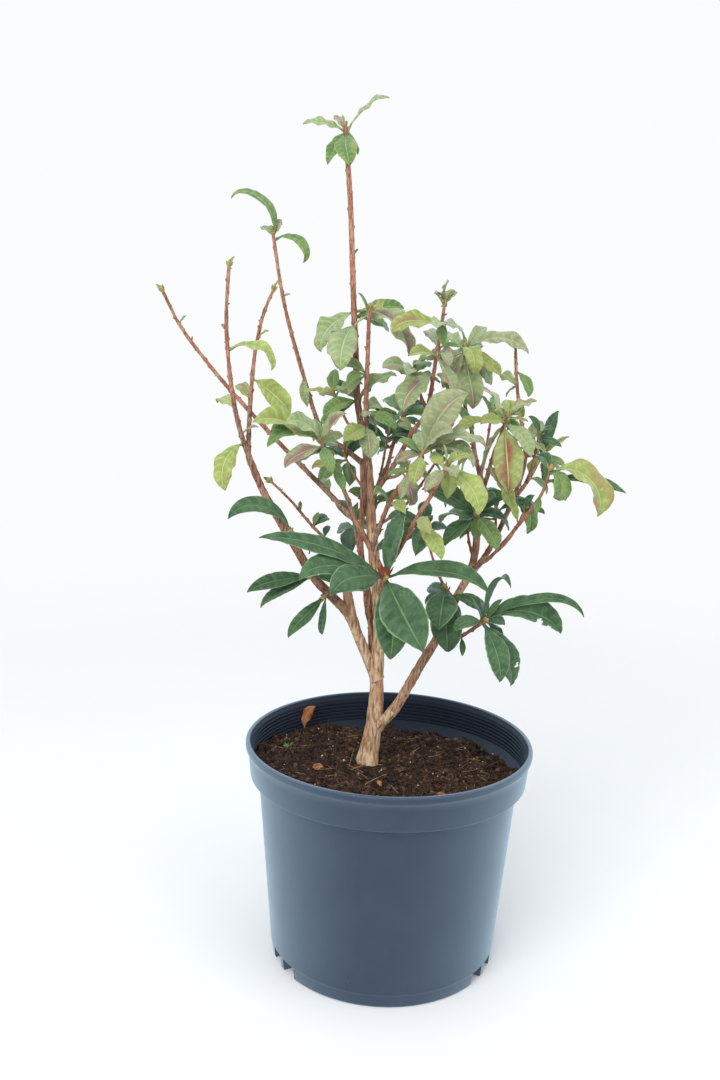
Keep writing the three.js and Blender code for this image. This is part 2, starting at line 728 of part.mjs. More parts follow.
// Each leaf keeps its heading, or the nearest turned one that is clear of the other limbs and masses.
const random = makeRandom(seed);
const leafPoints = [];
Object.entries(masses).forEach(([name, mass]) => {
  let solid = cutStem(name);
  mass.leaves.forEach(([along, kind, ...rows]) => rows.forEach(([clock, forward, length]) => {
    const root = curvePoint(known[name].points, Math.min(along, 0.985));
    const leaf = makeLeaf(root, kind, clock, forward, length, random);
    const heading = leaf.chord.clone();
    const clear = nudges.some((nudge) => {
      setHeading(leaf, heading.clone().applyAxisAngle(new THREE.Vector3(0, 0, 1), toRadians(nudge)));
      return isClear(leafSamples(leaf), name, known, leafPoints);
    });
    if (clear) {
      leafSamples(leaf).forEach((point) => leafPoints.push({ mass: name, point }));
      solid = solid.add(leafSolid(leaf));
    }
  }));
  addMesh(name, largestPiece(solid), '#5d7a45', 0.55);
});

export default group;
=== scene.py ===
import json
import math
import bpy
import numpy as np
from mathutils import Matrix, Vector

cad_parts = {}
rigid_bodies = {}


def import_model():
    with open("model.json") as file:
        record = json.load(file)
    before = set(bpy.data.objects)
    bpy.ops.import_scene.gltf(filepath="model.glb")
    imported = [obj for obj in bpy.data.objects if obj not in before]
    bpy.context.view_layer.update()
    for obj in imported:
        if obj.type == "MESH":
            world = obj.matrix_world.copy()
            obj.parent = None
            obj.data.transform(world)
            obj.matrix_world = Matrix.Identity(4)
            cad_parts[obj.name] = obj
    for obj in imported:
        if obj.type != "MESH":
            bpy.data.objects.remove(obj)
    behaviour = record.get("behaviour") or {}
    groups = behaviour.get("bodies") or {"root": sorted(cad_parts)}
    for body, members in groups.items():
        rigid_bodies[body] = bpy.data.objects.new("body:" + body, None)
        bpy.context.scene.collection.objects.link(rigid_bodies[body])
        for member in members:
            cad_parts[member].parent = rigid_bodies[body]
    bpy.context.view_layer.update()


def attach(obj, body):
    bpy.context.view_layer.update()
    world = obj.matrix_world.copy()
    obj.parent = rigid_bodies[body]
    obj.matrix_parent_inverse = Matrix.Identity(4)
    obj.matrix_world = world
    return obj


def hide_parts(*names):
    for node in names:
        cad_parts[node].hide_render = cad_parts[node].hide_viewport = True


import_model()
mm = 0.001  # sizes below are in millimetres, meshes are built in metres
circle = 6.28  # the random turns are drawn from a full one, in radians
rest = "root"

# What the shrub grows by, with the values of the solids.
shrub = {
    "seed": 2611,
    "soilLevel": 149.0,
    "gap": 0.3,
    "leafFold": 0.3,
    "limbClearance": 2.6,
    "leafClearance": 4.6,
    "nudges": [0, 14, -14, 28, -28, 42, -42],
    "faceLight": 0.55,
    "flareFade": 16,
}

# kind of leaf: width as a share of its length, how far the blade bends over in degrees, and how far it turns
# to face the front where that isn't the usual share
leafKinds = {
    "broad": {"share": 0.46, "bend": 20},
    "facing": {"share": 0.48, "bend": 20, "turn": 1},
    "plain": {"share": 0.37, "bend": 30},
    "slim": {"share": 0.25, "bend": 26},
    "curl": {"share": 0.34, "bend": 90},
    "arch": {"share": 0.32, "bend": 120},
    "slimArch": {"share": 0.24, "bend": 96},
    "sweep": {"share": 0.2, "bend": 50},
    "ribbon": {"share": 0.11, "bend": 50},
    "bud": {"share": 0.32, "bend": 6},
}

limbs = {
    "trunk": {
        "start": [-16, 4, shrub["soilLevel"] + shrub["gap"]],
        "via": [[-13, 4, 172], [-11.2, 5, 190], [-10.8, 6, 208], [-10.8, 7, 230], [-10.5, 9, 255],
                [-13, 12, 285],
            [-17, 14, 316], [-20, 16, 347], [-22, 18, 371], [-25, 19, 393]],
        "radii": [6.2, 3], "flare": 2.7,
    },
    "bough_left": {
        "from": ["trunk", 0.34],
        "via": [[-21.5, 4, 240], [-34, 1, 268], [-48, -3, 284], [-61, -8, 299], [-75, -14, 323],
                [-87, -20, 344],
            [-99, -25, 367], [-108, -30, 390]],
        "radii": [4.2, 2.4],
    },
    "bough_left_inner": {
        "from": ["bough_left", 0.25], "radii": [2.8, 1.5],
        "via": [[-38, 8, 291], [-42, 28, 310]],
    },
    "bough_right": {
        "from": ["trunk", 0.11],
        "via": [[4, -2, 197], [12.5, -4, 214], [23.5, -5, 236], [34, -4, 255], [46, 3, 282], [57, 8, 303],
            [60, 6, 324], [59, 4, 347], [63, 0, 369]],
        "radii": [4.2, 2.2],
    },
    "bough_right_back": {
        "from": ["bough_right", 0.64], "radii": [2.3, 1.8],
        "via": [[70, 22, 314], [80, 34, 330], [91, 46, 352]],
    },
    "bough_front": {
        "from": ["trunk", 0.5], "radii": [2.7, 2],
        "via": [[-10, -12, 284], [-10, -28, 306], [-19, -29, 325], [-31, -26, 345]],
    },
}

# The masses of foliage. Each has one stem and the leaves on it; a leaf row is [clock, forward, length]:
# the clock heading seen from the front (0 up, 90 right), the lean towards the front in degrees, and mm.
masses = {
    "foliage_leader": {
        "from": ["trunk", 1], "radii": [2.7, 1.7],
        "via": [[-32, 18, 425], [-35, 16, 465], [-38, 13, 508], [-42, 9, 570], [-47, 5, 619]],
        "leaves": [
            [0.22, "plain", [50, 10, 36], [300, -20, 28], [245, 35, 34], [235, 5, 34]],
            [0.5, "broad", [200, 35, 42], [155, 40, 48]],
            [0.52, "plain", [75, -15, 40], [105, -50, 44]],
            [0.54, "broad", [224, 20, 42]],
            [0.54, "curl", [128, 10, 60]],
            [0.68, "bud", [35, -30, 8]],
            [0.97, "broad", [170, 45, 35]],
            [0.98, "slim", [48, 15, 40], [278, 10, 31]],
            [0.98, "plain", [205, 15, 28], [140, -55, 26], [325, -40, 20]],
            [1, "bud", [350, 5, 10]],
        ],
    },
    "foliage_second_leader": {
        "from": ["trunk", 0.95], "radii": [2.1, 1.3],
        "via": [[-26, 10, 426], [-26, 2, 462], [-26, -4, 495]],
        "leaves": [
            [0.22, "broad", [240, 55, 33], [170, 45, 31]],
            [0.3, "plain", [115, 25, 29], [80, -65, 32]],
            [0.53, "plain", [305, -55, 27]],
            [0.94, "bud", [335, 10, 17], [45, -30, 17], [230, -30, 15]],
        ],
    },
    "foliage_left_leader": {
        "from": ["trunk", 0.93], "radii": [2.1, 1.2],
        "via": [[-40, 24, 391], [-59, 29, 405], [-74, 33, 445], [-90, 39, 498], [-100, 45, 550]],
        "leaves": [
            [0.38, "plain", [250, 65, 20], [30, -40, 23]],
            [0.6, "bud", [170, 15, 24]],
            [0.82, "bud", [65, -45, 8]],
            [0.97, "slimArch", [316, 5, 57], [122, 15, 38]],
            [0.98, "plain", [15, -30, 18], [305, -50, 22]],
        ],
    },
    "foliage_twin_left": {
        "from": ["bough_left", 1], "radii": [1.9, 1.1],
        "via": [[-115, -36, 414], [-120, -42, 446], [-122, -48, 483], [-120, -52, 518]],
        "leaves": [
            [0.12, "curl", [200, 25, 42]],
            [0.18, "bud", [60, 20, 15]],
            [0.32, "plain", [290, -55, 31]],
            [0.62, "slimArch", [108, 5, 42]],
            [0.7, "bud", [320, -35, 8]],
            [0.98, "bud", [20, 5, 9]],
        ],
    },
    "foliage_twin_right": {
        "from": ["bough_left", 1], "radii": [1.8, 1],
        "via": [[-108, -26, 418], [-106, -20, 456], [-101, -15, 486], [-94, -12, 505]],
        "leaves": [
            [0.32, "plain", [310, -50, 26]],
            [0.42, "broad", [128, 15, 38]],
            [0.63, "bud", [55, 25, 10]],
            [0.98, "bud", [25, 5, 9]],
        ],
    },
    "foliage_left_fore": {
        "from": ["bough_left", 0.68], "radii": [1.7, 1.3],
        "via": [[-77, -22, 334], [-77, -27, 336]],
        "leaves": [[0.7, "slimArch", [288, 15, 62]], [0.8, "plain", [315, -30, 31], [150, -45, 29]]],
    },
    "foliage_left_low": {
        "from": ["bough_left", 0.5], "radii": [1.8, 1.3],
        "via": [[-60, -15, 301], [-62, -20, 302]],
        "leaves": [
            [0.7, "slim", [262, 20, 52], [242, 10, 46]],
            [0.8, "plain", [120, -45, 34], [230, -45, 40]],
        ],
    },
    "foliage_left_foot": {
        "from": ["bough_left", 0.4], "radii": [1.7, 1.2],
        "via": [[-50, -10, 287], [-52, -15, 286]],
        "leaves": [
            [0.7, "plain", [100, -45, 30]],
            [0.7, "slim", [226, 20, 44]],
            [0.8, "sweep", [186, 5, 34]],
        ],
    },
    "foliage_left_inner": {
        "from": ["bough_left_inner", 1], "radii": [1.3, 0.9],
        "via": [[-64, 30, 330], [-80, 26, 349], [-96, 22, 365]],
        "leaves": [
            [0.2, "plain", [230, -45, 23]],
            [0.33, "plain", [65, -55, 23]],
            [0.53, "bud", [0, 15, 10]],
            [0.93, "bud", [300, -20, 11]],
        ],
    },
    "foliage_far_left": {
        "from": ["bough_front", 1], "radii": [2.1, 1],
        "via": [[-53, -16, 365], [-92, 0, 400], [-133, 16, 440], [-164, 26, 476], [-180, 32, 504]],
        "leaves": [
            [0.18, "plain", [315, -55, 22]],
            [0.42, "plain", [60, -50, 20]],
            [0.6, "bud", [315, 40, 9]],
            [0.83, "bud", [45, 25, 9]],
            [0.98, "bud", [320, 0, 9]],
        ],
    },
    "foliage_centre_left": {
        "from": ["bough_front", 1], "radii": [1.7, 1.3],
        "via": [[-39, -32, 366], [-49, -36, 387], [-57, -40, 403]],
        "leaves": [
            [0.65, "plain", [150, 25, 22], [265, 20, 16]],
            [0.9, "plain", [245, 30, 34], [150, 55, 31], [92, -65, 30]],
            [0.96, "curl", [265, 20, 44]],
            [0.97, "plain", [290, 0, 52], [35, 15, 29], [310, -55, 31]],
        ],
    },
    "foliage_front_right": {
        "from": ["bough_front", 0.5], "radii": [1.9, 1.3],
        "via": [[0, -38, 326], [12, -50, 353], [22, -58, 373], [30, -64, 392]],
        "leaves": [
            [0.48, "plain", [140, 25, 35]],
            [0.94, "plain", [230, 45, 28], [305, -45, 24]],
            [0.98, "broad", [140, 36, 44]],
            [0.98, "plain", [55, 40, 22]],
            [1, "bud", [350, 10, 15], [30, -25, 14]],
        ],
    },
    "foliage_centre_right": {
        "from": ["bough_front", 0.75], "radii": [1.8, 1.3],
        "via": [[-8, -36, 359], [3, -42, 379], [15, -48, 399]],
        "leaves": [
            [0.35, "plain", [315, 45, 23], [105, 60, 23]],
            [0.75, "plain", [205, 45, 26]],
            [0.93, "plain", [200, 50, 29], [305, 15, 21], [40, -55, 31]],
            [0.98, "facing", [30, 12, 52]],
            [0.98, "curl", [80, 10, 48]],
        ],
    },
    # Three of its leaves hang otherwise than in the solids, so that none crosses another in front.
    "foliage_centre_low": {
        "from": ["bough_front", 0.5], "radii": [2, 1.5],
        "via": [[-9, -34, 306], [-8, -39, 307]],
        "leaves": [
            [0.6, "sweep", [289, 10, 98], [90, 15, 80]],
            [0.6, "slim", [30, 5, 50], [150, 5, 57]],
            [0.7, "plain", [280, 25, 70], [275, 50, 62]],
            [0.8, "facing", [174, 36, 62]],
            [0.8, "broad", [146, 52, 74]],
            [0.8, "facing", [15, 10, 55]],
        ],
    },
    "foliage_tall_right": {
        "from": ["trunk", 0.83], "radii": [2, 1.1],
        "via": [[-5, 16, 379], [8, 13, 405], [19, 9, 424], [23, 2, 457], [26, -5, 485], [27, -10, 500]],
        "leaves": [
            [0.35, "plain", [295, -55, 22], [120, -50, 28]],
            [0.63, "broad", [225, 30, 40]],
            [0.7, "plain", [270, 40, 27], [150, 20, 34]],
            [0.73, "plain", [80, 20, 16], [330, -60, 33]],
            [0.84, "plain", [265, 5, 39], [100, -55, 31]],
            [0.97, "bud", [25, 10, 13], [325, 20, 13]],
        ],
    },
    "foliage_back_centre": {
        "from": ["trunk", 0.83], "radii": [1.8, 1.2],
        "via": [[-9, 32, 376], [-4, 46, 394], [4, 60, 417]],
        "leaves": [
            [0.63, "plain", [245, -60, 26]],
            [0.92, "plain", [255, -30, 24], [110, -30, 28]],
            [0.97, "plain", [305, -55, 34], [70, -55, 36], [190, -55, 42]],
            [0.98, "broad", [15, 0, 22]],
        ],
    },
    "foliage_back_low": {
        "from": ["trunk", 0.44], "radii": [1.7, 1.2],
        "via": [[-20, 22, 265], [-24, 40, 291], [-33, 64, 330]],
        "leaves": [
            [0.67, "plain", [225, -50, 20]],
            [0.94, "plain", [110, -60, 37], [240, -55, 30], [5, 20, 23]],
            [0.97, "plain", [315, -40, 30], [50, -35, 26], [185, -45, 42]],
        ],
    },
    "foliage_upper_right": {
        "from": ["bough_right", 1], "radii": [1.9, 1.2],
        "via": [[58, 18, 387], [55, 30, 407], [49, 38, 430], [48, 44, 470]],
        "leaves": [
            [0.33, "plain", [205, -50, 29]],
            [0.57, "plain", [240, -50, 21]],
            [0.96, "broad", [168, 28, 47]],
            [0.97, "plain", [210, 20, 35], [120, 5, 34], [315, -50, 32], [40, -35, 33]],
            [0.98, "curl", [90, 10, 54]],
            [1, "bud", [350, 5, 15]],
        ],
    },
    "foliage_right_inner": {
        "from": ["bough_right", 1], "radii": [1.7, 1.2],
        "via": [[67, -8, 391], [71, -15, 408], [74, -22, 423]],
        "leaves": [
            [0.25, "slim", [155, 20, 45]],
            [0.85, "broad", [175, 25, 52]],
            [0.88, "plain", [275, 35, 25]],
            [0.94, "plain", [320, 25, 34], [60, -20, 28], [350, -70, 30]],
        ],
    },
    "foliage_right_mid": {
        "from": ["bough_right", 0.87], "radii": [1.7, 1.3],
        "via": [[57, -1, 348], [57, -6, 350]],
        "leaves": [
            [0.6, "broad", [295, -10, 44], [230, 20, 34], [145, 35, 34]],
            [0.8, "plain", [60, -50, 32], [300, -65, 31]],
        ],
    },
    "foliage_right_fork": {
        "from": ["bough_right", 0.55], "radii": [1.8, 1.3],
        "via": [[41, -6, 288], [37, -12, 295]],
        "leaves": [[0.5, "plain", [125, -45, 36], [265, -60, 32]], [0.95, "broad", [176, 25, 50]]],
    },
    "foliage_right_tall": {
        "from": ["bough_right_back", 1], "radii": [1.8, 1.1],
        "via": [[99, 50, 378], [99, 50, 396], [93, 50, 425], [89, 49, 450], [87, 48, 472]],
        "leaves": [
            [0.06, "curl", [160, 15, 38]],
            [0.25, "plain", [205, -55, 29]],
            [0.43, "plain", [60, -45, 34]],
            [0.73, "plain", [315, -60, 29]],
            [0.83, "plain", [150, 20, 24]],
            [0.98, "bud", [345, -15, 12], [45, -50, 15]],
        ],
    },
    "foliage_right_rear": {
        "from": ["bough_right_back", 1], "radii": [1.7, 1.2],
        "via": [[106, 62, 369], [117, 76, 386]],
        "leaves": [
            [0.52, "plain", [125, -30, 26]],
            [0.94, "slim", [16, -10, 42]],
            [0.94, "plain", [320, 15, 28], [120, -45, 35], [200, -60, 30], [25, -55, 36]],
            [0.95, "slim", [50, 5, 28]],
        ],
    },
    "foliage_right_out": {
        "from": ["bough_right", 0.68], "radii": [1.5, 1],
        "via": [[71, -3, 318], [88, -22, 347], [99, -36, 369], [103, -44, 388]],
        "leaves": [
            [0.5, "plain", [305, -40, 16]],
            [0.75, "bud", [200, 30, 15]],
            [0.88, "sweep", [96, 15, 56]],
            [0.9, "plain", [135, -40, 33]],
            [0.97, "arch", [130, 20, 60]],
            [0.97, "plain", [330, -65, 27]],
            [1, "bud", [10, 5, 8]],
        ],
    },
    "foliage_right_low": {
        "from": ["bough_right", 0.44], "radii": [1.7, 1.2],
        "via": [[39, -14, 253], [49, -24, 261], [64, -38, 277]],
        "leaves": [
            [0.68, "bud", [185, 30, 15]],
            [0.96, "broad", [160, 25, 45], [335, 10, 24]],
            [0.97, "plain", [150, 0, 54], [265, 30, 27], [315, -70, 31], [140, -45, 41]],
            [0.97, "curl", [93, 10, 66]],
            [1, "ribbon", [74, 14, 80]],
            [1, "bud", [30, 10, 22]],
        ],
    },
}


# Which tints the leaves of a mass take, dealt out in turn; a mass not named here has the old dark leaves.
massTints = {
    "foliage_leader": ["sage", "sage", "green", "green"],
    "foliage_second_leader": ["young", "sage", "green"],
    "foliage_left_leader": ["sage", "sage", "sage", "sage", "green", "green"],
    "foliage_twin_left": ["young", "bronze", "young"],
    "foliage_twin_right": ["young", "young"],
    "foliage_left_inner": ["green", "old"],
    "foliage_far_left": ["sage", "green"],
    "foliage_centre_left": ["green", "young", "bronze", "green", "sage"],
    "foliage_front_right": ["young", "sage", "young", "young"],
    "foliage_centre_right": ["green", "young", "sage", "young", "green", "sage", "bronze", "sage"],
    "foliage_tall_right": ["sage", "green", "sage", "young"],
    "foliage_back_centre": ["old", "green"],
    "foliage_back_low": ["old", "green"],
    "foliage_upper_right": ["sage", "green", "sage", "sage", "young", "sage", "sage", "bronze"],
    "foliage_right_inner": ["young", "russet", "young", "sage", "sage"],
    "foliage_right_mid": ["old", "old", "green"],
    "foliage_right_tall": ["green", "green", "sage", "young"],
    "foliage_right_rear": ["green", "old", "young", "green"],
    "foliage_right_out": ["green", "green", "old", "green", "young", "old"],
}

# Finer twigs that the solids leave out, each with one whorl at its tip: its parent and the share along it.
sprigs = {
    "left_high": {"from": ["foliage_leader", 0.05], "tip": [-51, 12, 434], "leaves": 6, "length": 27,
                  "tints": ["young", "green", "sage"]},
    "left_mid": {"from": ["trunk", 0.85], "tip": [-41, 30, 386], "leaves": 6, "length": 29,
                 "tints": ["green", "old"]},
    "left_back": {"from": ["trunk", 0.7], "tip": [-17, 34, 352], "leaves": 5, "length": 30,
                  "tints": ["old", "green"]},
    "back_mid": {"from": ["trunk", 0.8], "tip": [-8, 42, 404], "leaves": 8, "length": 36, "tints": ["old"]},
    "mid": {"from": ["foliage_tall_right", 0.12], "tip": [7, 18, 379], "leaves": 6, "length": 30,
            "tints": ["green", "sage"]},
    "top_mid": {"from": ["foliage_tall_right", 0.5], "tip": [9, 5, 450], "leaves": 5, "length": 32,
                "tints": ["sage", "green", "sage"]},
    "top_right": {"from": ["foliage_tall_right", 0.45], "tip": [38, 26, 434], "leaves": 6, "length": 30,
                  "tints": ["sage", "green", "young"]},
    "right_back_low": {"from": ["trunk", 0.75], "tip": [33, 45, 387], "leaves": 7, "length": 38,
                       "tints": ["green", "old", "old"]},
    "right_high": {"from": ["foliage_upper_right", 0.12], "tip": [67, 12, 422], "leaves": 7, "length": 32,
                   "tints": ["green", "sage", "young"]},
    "dark_right": {"from": ["bough_right", 0.55], "tip": [20, 2, 336], "leaves": 8, "length": 42,
                   "tints": ["old"]},
    "dark_far": {"from": ["bough_right", 0.72], "tip": [53, 24, 342], "leaves": 7, "length": 38,
                 "tints": ["old", "green"]},
    "rear_right": {"from": ["bough_right_back", 0.55], "tip": [78, 36, 345], "leaves": 7, "length": 34,
                   "tints": ["green", "old"]},
    "out_low": {"from": ["foliage_right_out", 0.3], "tip": [97, 18, 350], "leaves": 2, "length": 26,
                "tints": ["old"]},
    "rear_high": {"from": ["foliage_right_rear", 0.4], "tip": [111, 56, 404], "leaves": 3, "length": 22,
                  "tints": ["old", "green"]},
}


def makeRandom(start):
    state = start & 0xffffffff

    def draw():
        nonlocal state
        state = (state + 0x6d2b79f5) & 0xffffffff
        mixed = ((state ^ (state >> 15)) * (state | 1)) & 0xffffffff
        step = ((mixed ^ (mixed >> 7)) * (mixed | 61)) & 0xffffffff
        mixed ^= (mixed + step) & 0xffffffff
        return (mixed ^ (mixed >> 14)) / 4294967296

    return draw


def mix(a, b, share):
    return a + (b - a) * share


def unit(v):
    return v / np.linalg.norm(v, axis=-1, keepdims=True)


def smooth(low, high, value):
    t = np.clip((value - low) / (high - low), 0, 1)
    return t * t * (3 - 2 * t)


# A smooth curve through the points, read at shares of its run.
def curvePoints(points, shares):
    spans = len(points) - 1
    place = np.clip(shares, 0, 1) * spans
    index = np.minimum(place.astype(int), spans - 1)
    t = (place - index)[:, None]
    a, b, c, d = (points[np.clip(index + k, 0, spans)] for k in (-1, 0, 1, 2))
    return 0.5 * (2 * b + (c - a) * t + (2 * a - 5 * b + 4 * c - d) * t * t
                  + (3 * b - a - 3 * c + d) * t * t * t)


def growLimbs():
    grown = {}
    for name, limb in {**limbs, **masses}.items():
        if "from" in limb:
            parent, share = limb["from"]
            first = curvePoints(grown[parent]["points"], np.array([share]))[0]
        else:
            first = limb["start"]
        points = np.array([first, *limb["via"]], float)
        steps = 3 * len(points)
        marks = curvePoints(points, np.linspace(0, 1, steps + 1))
        radii = mix(limb["radii"][0], limb["radii"][1], np.arange(steps) / steps)
        grown[name] = {"limb": limb, "points": points, "from": marks[:-1], "to": marks[1:], "radii": radii}
    return grown


# The level way across a heading; a nearly upright heading counts as leaning to the front.
def levelSide(chord):
    level = np.array([chord[0], chord[1], 0.0])
    if np.linalg.norm(level) < 0.25:
        level = np.array([chord[0], -0.3, 0.0])
    side = unit(np.array([level[1], -level[0], 0.0]))
    return unit(side - chord * side.dot(chord))


def setHeading(leaf, chord):
    leaf["chord"] = chord
    leaf["side"] = levelSide(chord)
    faceForward = -np.cross(leaf["side"], chord)[1]
    toFront = math.degrees(math.atan2(-leaf["side"][1], max(faceForward, 0.2)))
    leaf["roll"] = leafKinds[leaf["kind"]].get("turn", shrub["faceLight"]) * toFront + leaf["jitter"]


def turnLevel(v, degrees):
    c, s = math.cos(math.radians(degrees)), math.sin(math.radians(degrees))
    return np.array([v[0] * c - v[1] * s, v[0] * s + v[1] * c, v[2]])


# Way ahead, side and face of the blade at each share of the midrib.
def leafAxes(leaf, shares, droop=0.0, twist=0.0):
    turn = np.radians(leaf["bend"] * (0.5 - shares) - droop)[..., None]
    up = np.cross(leaf["side"], leaf["chord"])
    ahead = leaf["chord"] * np.cos(turn) + up * np.sin(turn)
    face = np.cross(np.broadcast_to(leaf["side"], ahead.shape), ahead)
    roll = np.radians(leaf["roll"] + twist + 0 * shares)[..., None]
    side = leaf["side"] * np.cos(roll) - face * np.sin(roll)
    return ahead, side, face * np.cos(roll) + leaf["side"] * np.sin(roll)


def leafMidrib(leaf, shares):
    parts = 12
    inner = shares[:, None] * (np.arange(parts) + 0.5) / parts
    ahead = leafAxes(leaf, inner)[0]
    return leaf["root"] + ahead.sum(axis=1) * (shares[:, None] * leaf["length"] / parts)


def leafSamples(leaf):
    shares = np.arange(2, 11) / 10
    side, face = leafAxes(leaf, shares)[1:]
    half = (leaf["width"] / 2) * np.sin(np.pi * np.minimum(shares * 0.95, 1))[:, None]
    rib = leafMidrib(leaf, shares)
    rows = [rib + side * way * half + face * abs(way) * half * shrub["leafFold"] for way in (-0.85, 0, 0.85)]
    return np.concatenate(rows)


# How far the samples lie from a limb's face.
def limbGaps(samples, limb):
    run = limb["to"] - limb["from"]
    away = samples[:, None] - limb["from"]
    share = np.clip((away * run).sum(-1) / (run * run).sum(-1), 0, 1)[..., None]
    return np.linalg.norm(away - run * share, axis=-1) - limb["radii"]


def isClear(samples, own, grown, taken):
    for name, limb in grown.items():
        if name != own and limbGaps(samples, limb).min() < shrub["limbClearance"]:
            return False
    others = [points for mass, points in taken if mass != own]
    if not others:
        return True
    others = np.concatenate(others)
    return np.linalg.norm(samples[:, None] - others, axis=-1).min() >= shrub["leafClearance"]


def growLeaves(grown):
    draw = makeRandom(shrub["seed"])
    leaves, taken = [], []
    for mass, spec in masses.items():
        count, tints = 0, massTints.get(mass, ["old"])
        for along, kind, *rows in spec["leaves"]:
            for clock, forward, length in rows:
                shape = leafKinds[kind]
                root = curvePoints(grown[mass]["points"], np.array([min(along, 0.985)]))[0]
                flat = math.cos(math.radians(forward))
                heading = np.array([math.sin(math.radians(clock)) * flat, -math.sin(math.radians(forward)),
                                    math.cos(math.radians(clock)) * flat])
                leaf = {"root": root, "length": length, "kind": kind, "mass": mass, "clock": clock,
                        "width": length * shape["share"] * mix(0.92, 1.08, draw()),
                        "bend": shape["bend"] * mix(0.8, 1.2, draw()),
                        "jitter": mix(-14, 14, draw())}
                leaf["tint"] = tints[count % len(tints)]
                count += 1
                for nudge in shrub["nudges"]:
                    setHeading(leaf, turnLevel(heading, nudge))
                    if isClear(leafSamples(leaf), mass, grown, taken):
                        taken.append((mass, leafSamples(leaf)))
                        leaves.append(leaf)
                        break
    return leaves


# Leaves that fill each whorl between the ones above: how many to each of them, within the same reach.
fill = {
    "foliage_second_leader": 1.5, "foliage_left_leader": 0.1, "foliage_centre_left": 1.2,
    "foliage_centre_right": 1.4, "foliage_front_right": 0.8, "foliage_centre_low": 0.5,
    "foliage_tall_right": 1.2, "foliage_back_centre": 2, "foliage_back_low": 0.6, "foliage_upper_right": 1.2,
    "foliage_right_inner": 1.2, "foliage_right_mid": 1.4, "foliage_right_fork": 1, "foliage_right_tall": 0.8,
    "foliage_right_rear": 1.2, "foliage_right_out": 0.4, "foliage_right_low": 0.3, "foliage_left_inner": 0.6,
}
# The added leaves of these whorls are drawn like the others and then left out, so their own leaves hang free.
openWhorls = ["foliage_centre_low"]


def fillWhorls(grown, leaves):
    rng = np.random.default_rng(20)
    taken = [(leaf["mass"], leafSamples(leaf)) for leaf in leaves]
    added = []
    for leaf in leaves:
        if leaf["length"] < 20:
            continue
        wanted = fill.get(leaf["mass"], 0)
        for _ in range(int(wanted + rng.uniform())):
            turned = {**leaf, "length": leaf["length"] * rng.uniform(0.55, 0.9)}
            turned["width"] = leaf["width"] * turned["length"] / leaf["length"] * rng.uniform(0.85, 1.15)
            turned["bend"] = leaf["bend"] * rng.uniform(0.7, 1.4) + rng.uniform(0, 20)
            turned["jitter"] = rng.uniform(-22, 22)
            turned["tint"] = rng.choice(massTints.get(leaf["mass"], ["old"]))
            for _ in range(8):
                way = unit(leaf["chord"] + rng.normal(0, 0.75, 3))
                setHeading(turned, way)
                samples = leafSamples(turned)
                if isFree(samples, grown, taken):
                    taken.append((leaf["mass"], samples))
                    added.append(turned)
                    break
    return [leaf for leaf in added if leaf["mass"] not in openWhorls]


extras = {"sprigRadii": [1.25, 0.8], "spiral": 2.4, "limbClearance": 0.8, "leafClearance": 2.6}


# A twig bends up to its tip and carries its leaves in a spiral round it, the outer ones lower.
def growSprigs(grown, leaves):
    rng = np.random.default_rng(77)
    taken = [(leaf["mass"], leafSamples(leaf)) for leaf in leaves]
    added = []
    for name, sprig in sprigs.items():
        parent, share = sprig["from"]
        root = curvePoints(grown[parent]["points"], np.array([share]))[0]
        tip = np.array(sprig["tip"], float)
        middle = (root + tip) / 2 + [0, 0, -0.12 * np.linalg.norm(tip - root)]
        points = np.array([root, middle, tip])
        marks = curvePoints(points, np.linspace(0, 1, 10))
        radii = extras["sprigRadii"]
        grown[name] = {"limb": {"from": sprig["from"], "radii": radii}, "points": points,
                       "from": marks[:-1], "to": marks[1:], "radii": np.linspace(*radii, 9)}
        axis = unit(marks[-1] - marks[-3])
        turn = rng.uniform(0, circle)
        for i in range(sprig["leaves"] + 2):
            turn += extras["spiral"]
            out = unit(np.cross(axis, [math.cos(turn), math.sin(turn), 0.2]))
            lean = math.radians(rng.uniform(35, 80) + 5 * i)
            kind = rng.choice(["plain", "plain", "broad", "slim", "curl"])
            length = sprig["length"] * rng.uniform(0.7, 1.15)
            leaf = {"root": tip - axis * i * 0.7, "length": length, "kind": kind, "mass": name, "clock": 0,
                    "width": length * leafKinds[kind]["share"] * rng.uniform(0.92, 1.1),
                    "bend": leafKinds[kind]["bend"] + rng.uniform(0, 30), "jitter": rng.uniform(-20, 20),
                    "tint": rng.choice(sprig["tints"])}
            for _ in range(6):
                way = unit(axis * math.cos(lean) + out * math.sin(lean) + rng.normal(0, 0.18, 3))
                setHeading(leaf, way)
                samples = leafSamples(leaf)
                if isFree(samples, grown, taken):
                    taken.append((name, samples))
                    added.append(leaf)
                    break
    return added


def isFree(samples, grown, taken):
    if any(limbGaps(samples, limb)[9:].min() < extras["limbClearance"] for limb in grown.values()):
        return False
    others = np.concatenate([points for _, points in taken])
    return np.linalg.norm(samples[3:, None] - others, axis=-1).min() >= extras["leafClearance"]


grown = growLimbs()
leaves = growLeaves(grown)
leaves += fillWhorls(grown, leaves)
leaves += growSprigs(grown, leaves)
print("grown:", len(grown), "limbs,", len(leaves), "leaves")


# Meshes: parts are gathered as arrays of points, quads and triangles, each face with a material slot.
def newBundle():
    return {"points": [], "quads": [], "tris": [], "quadSlots": [], "triSlots": [], "flush": [], "vein": [],
            "count": 0}


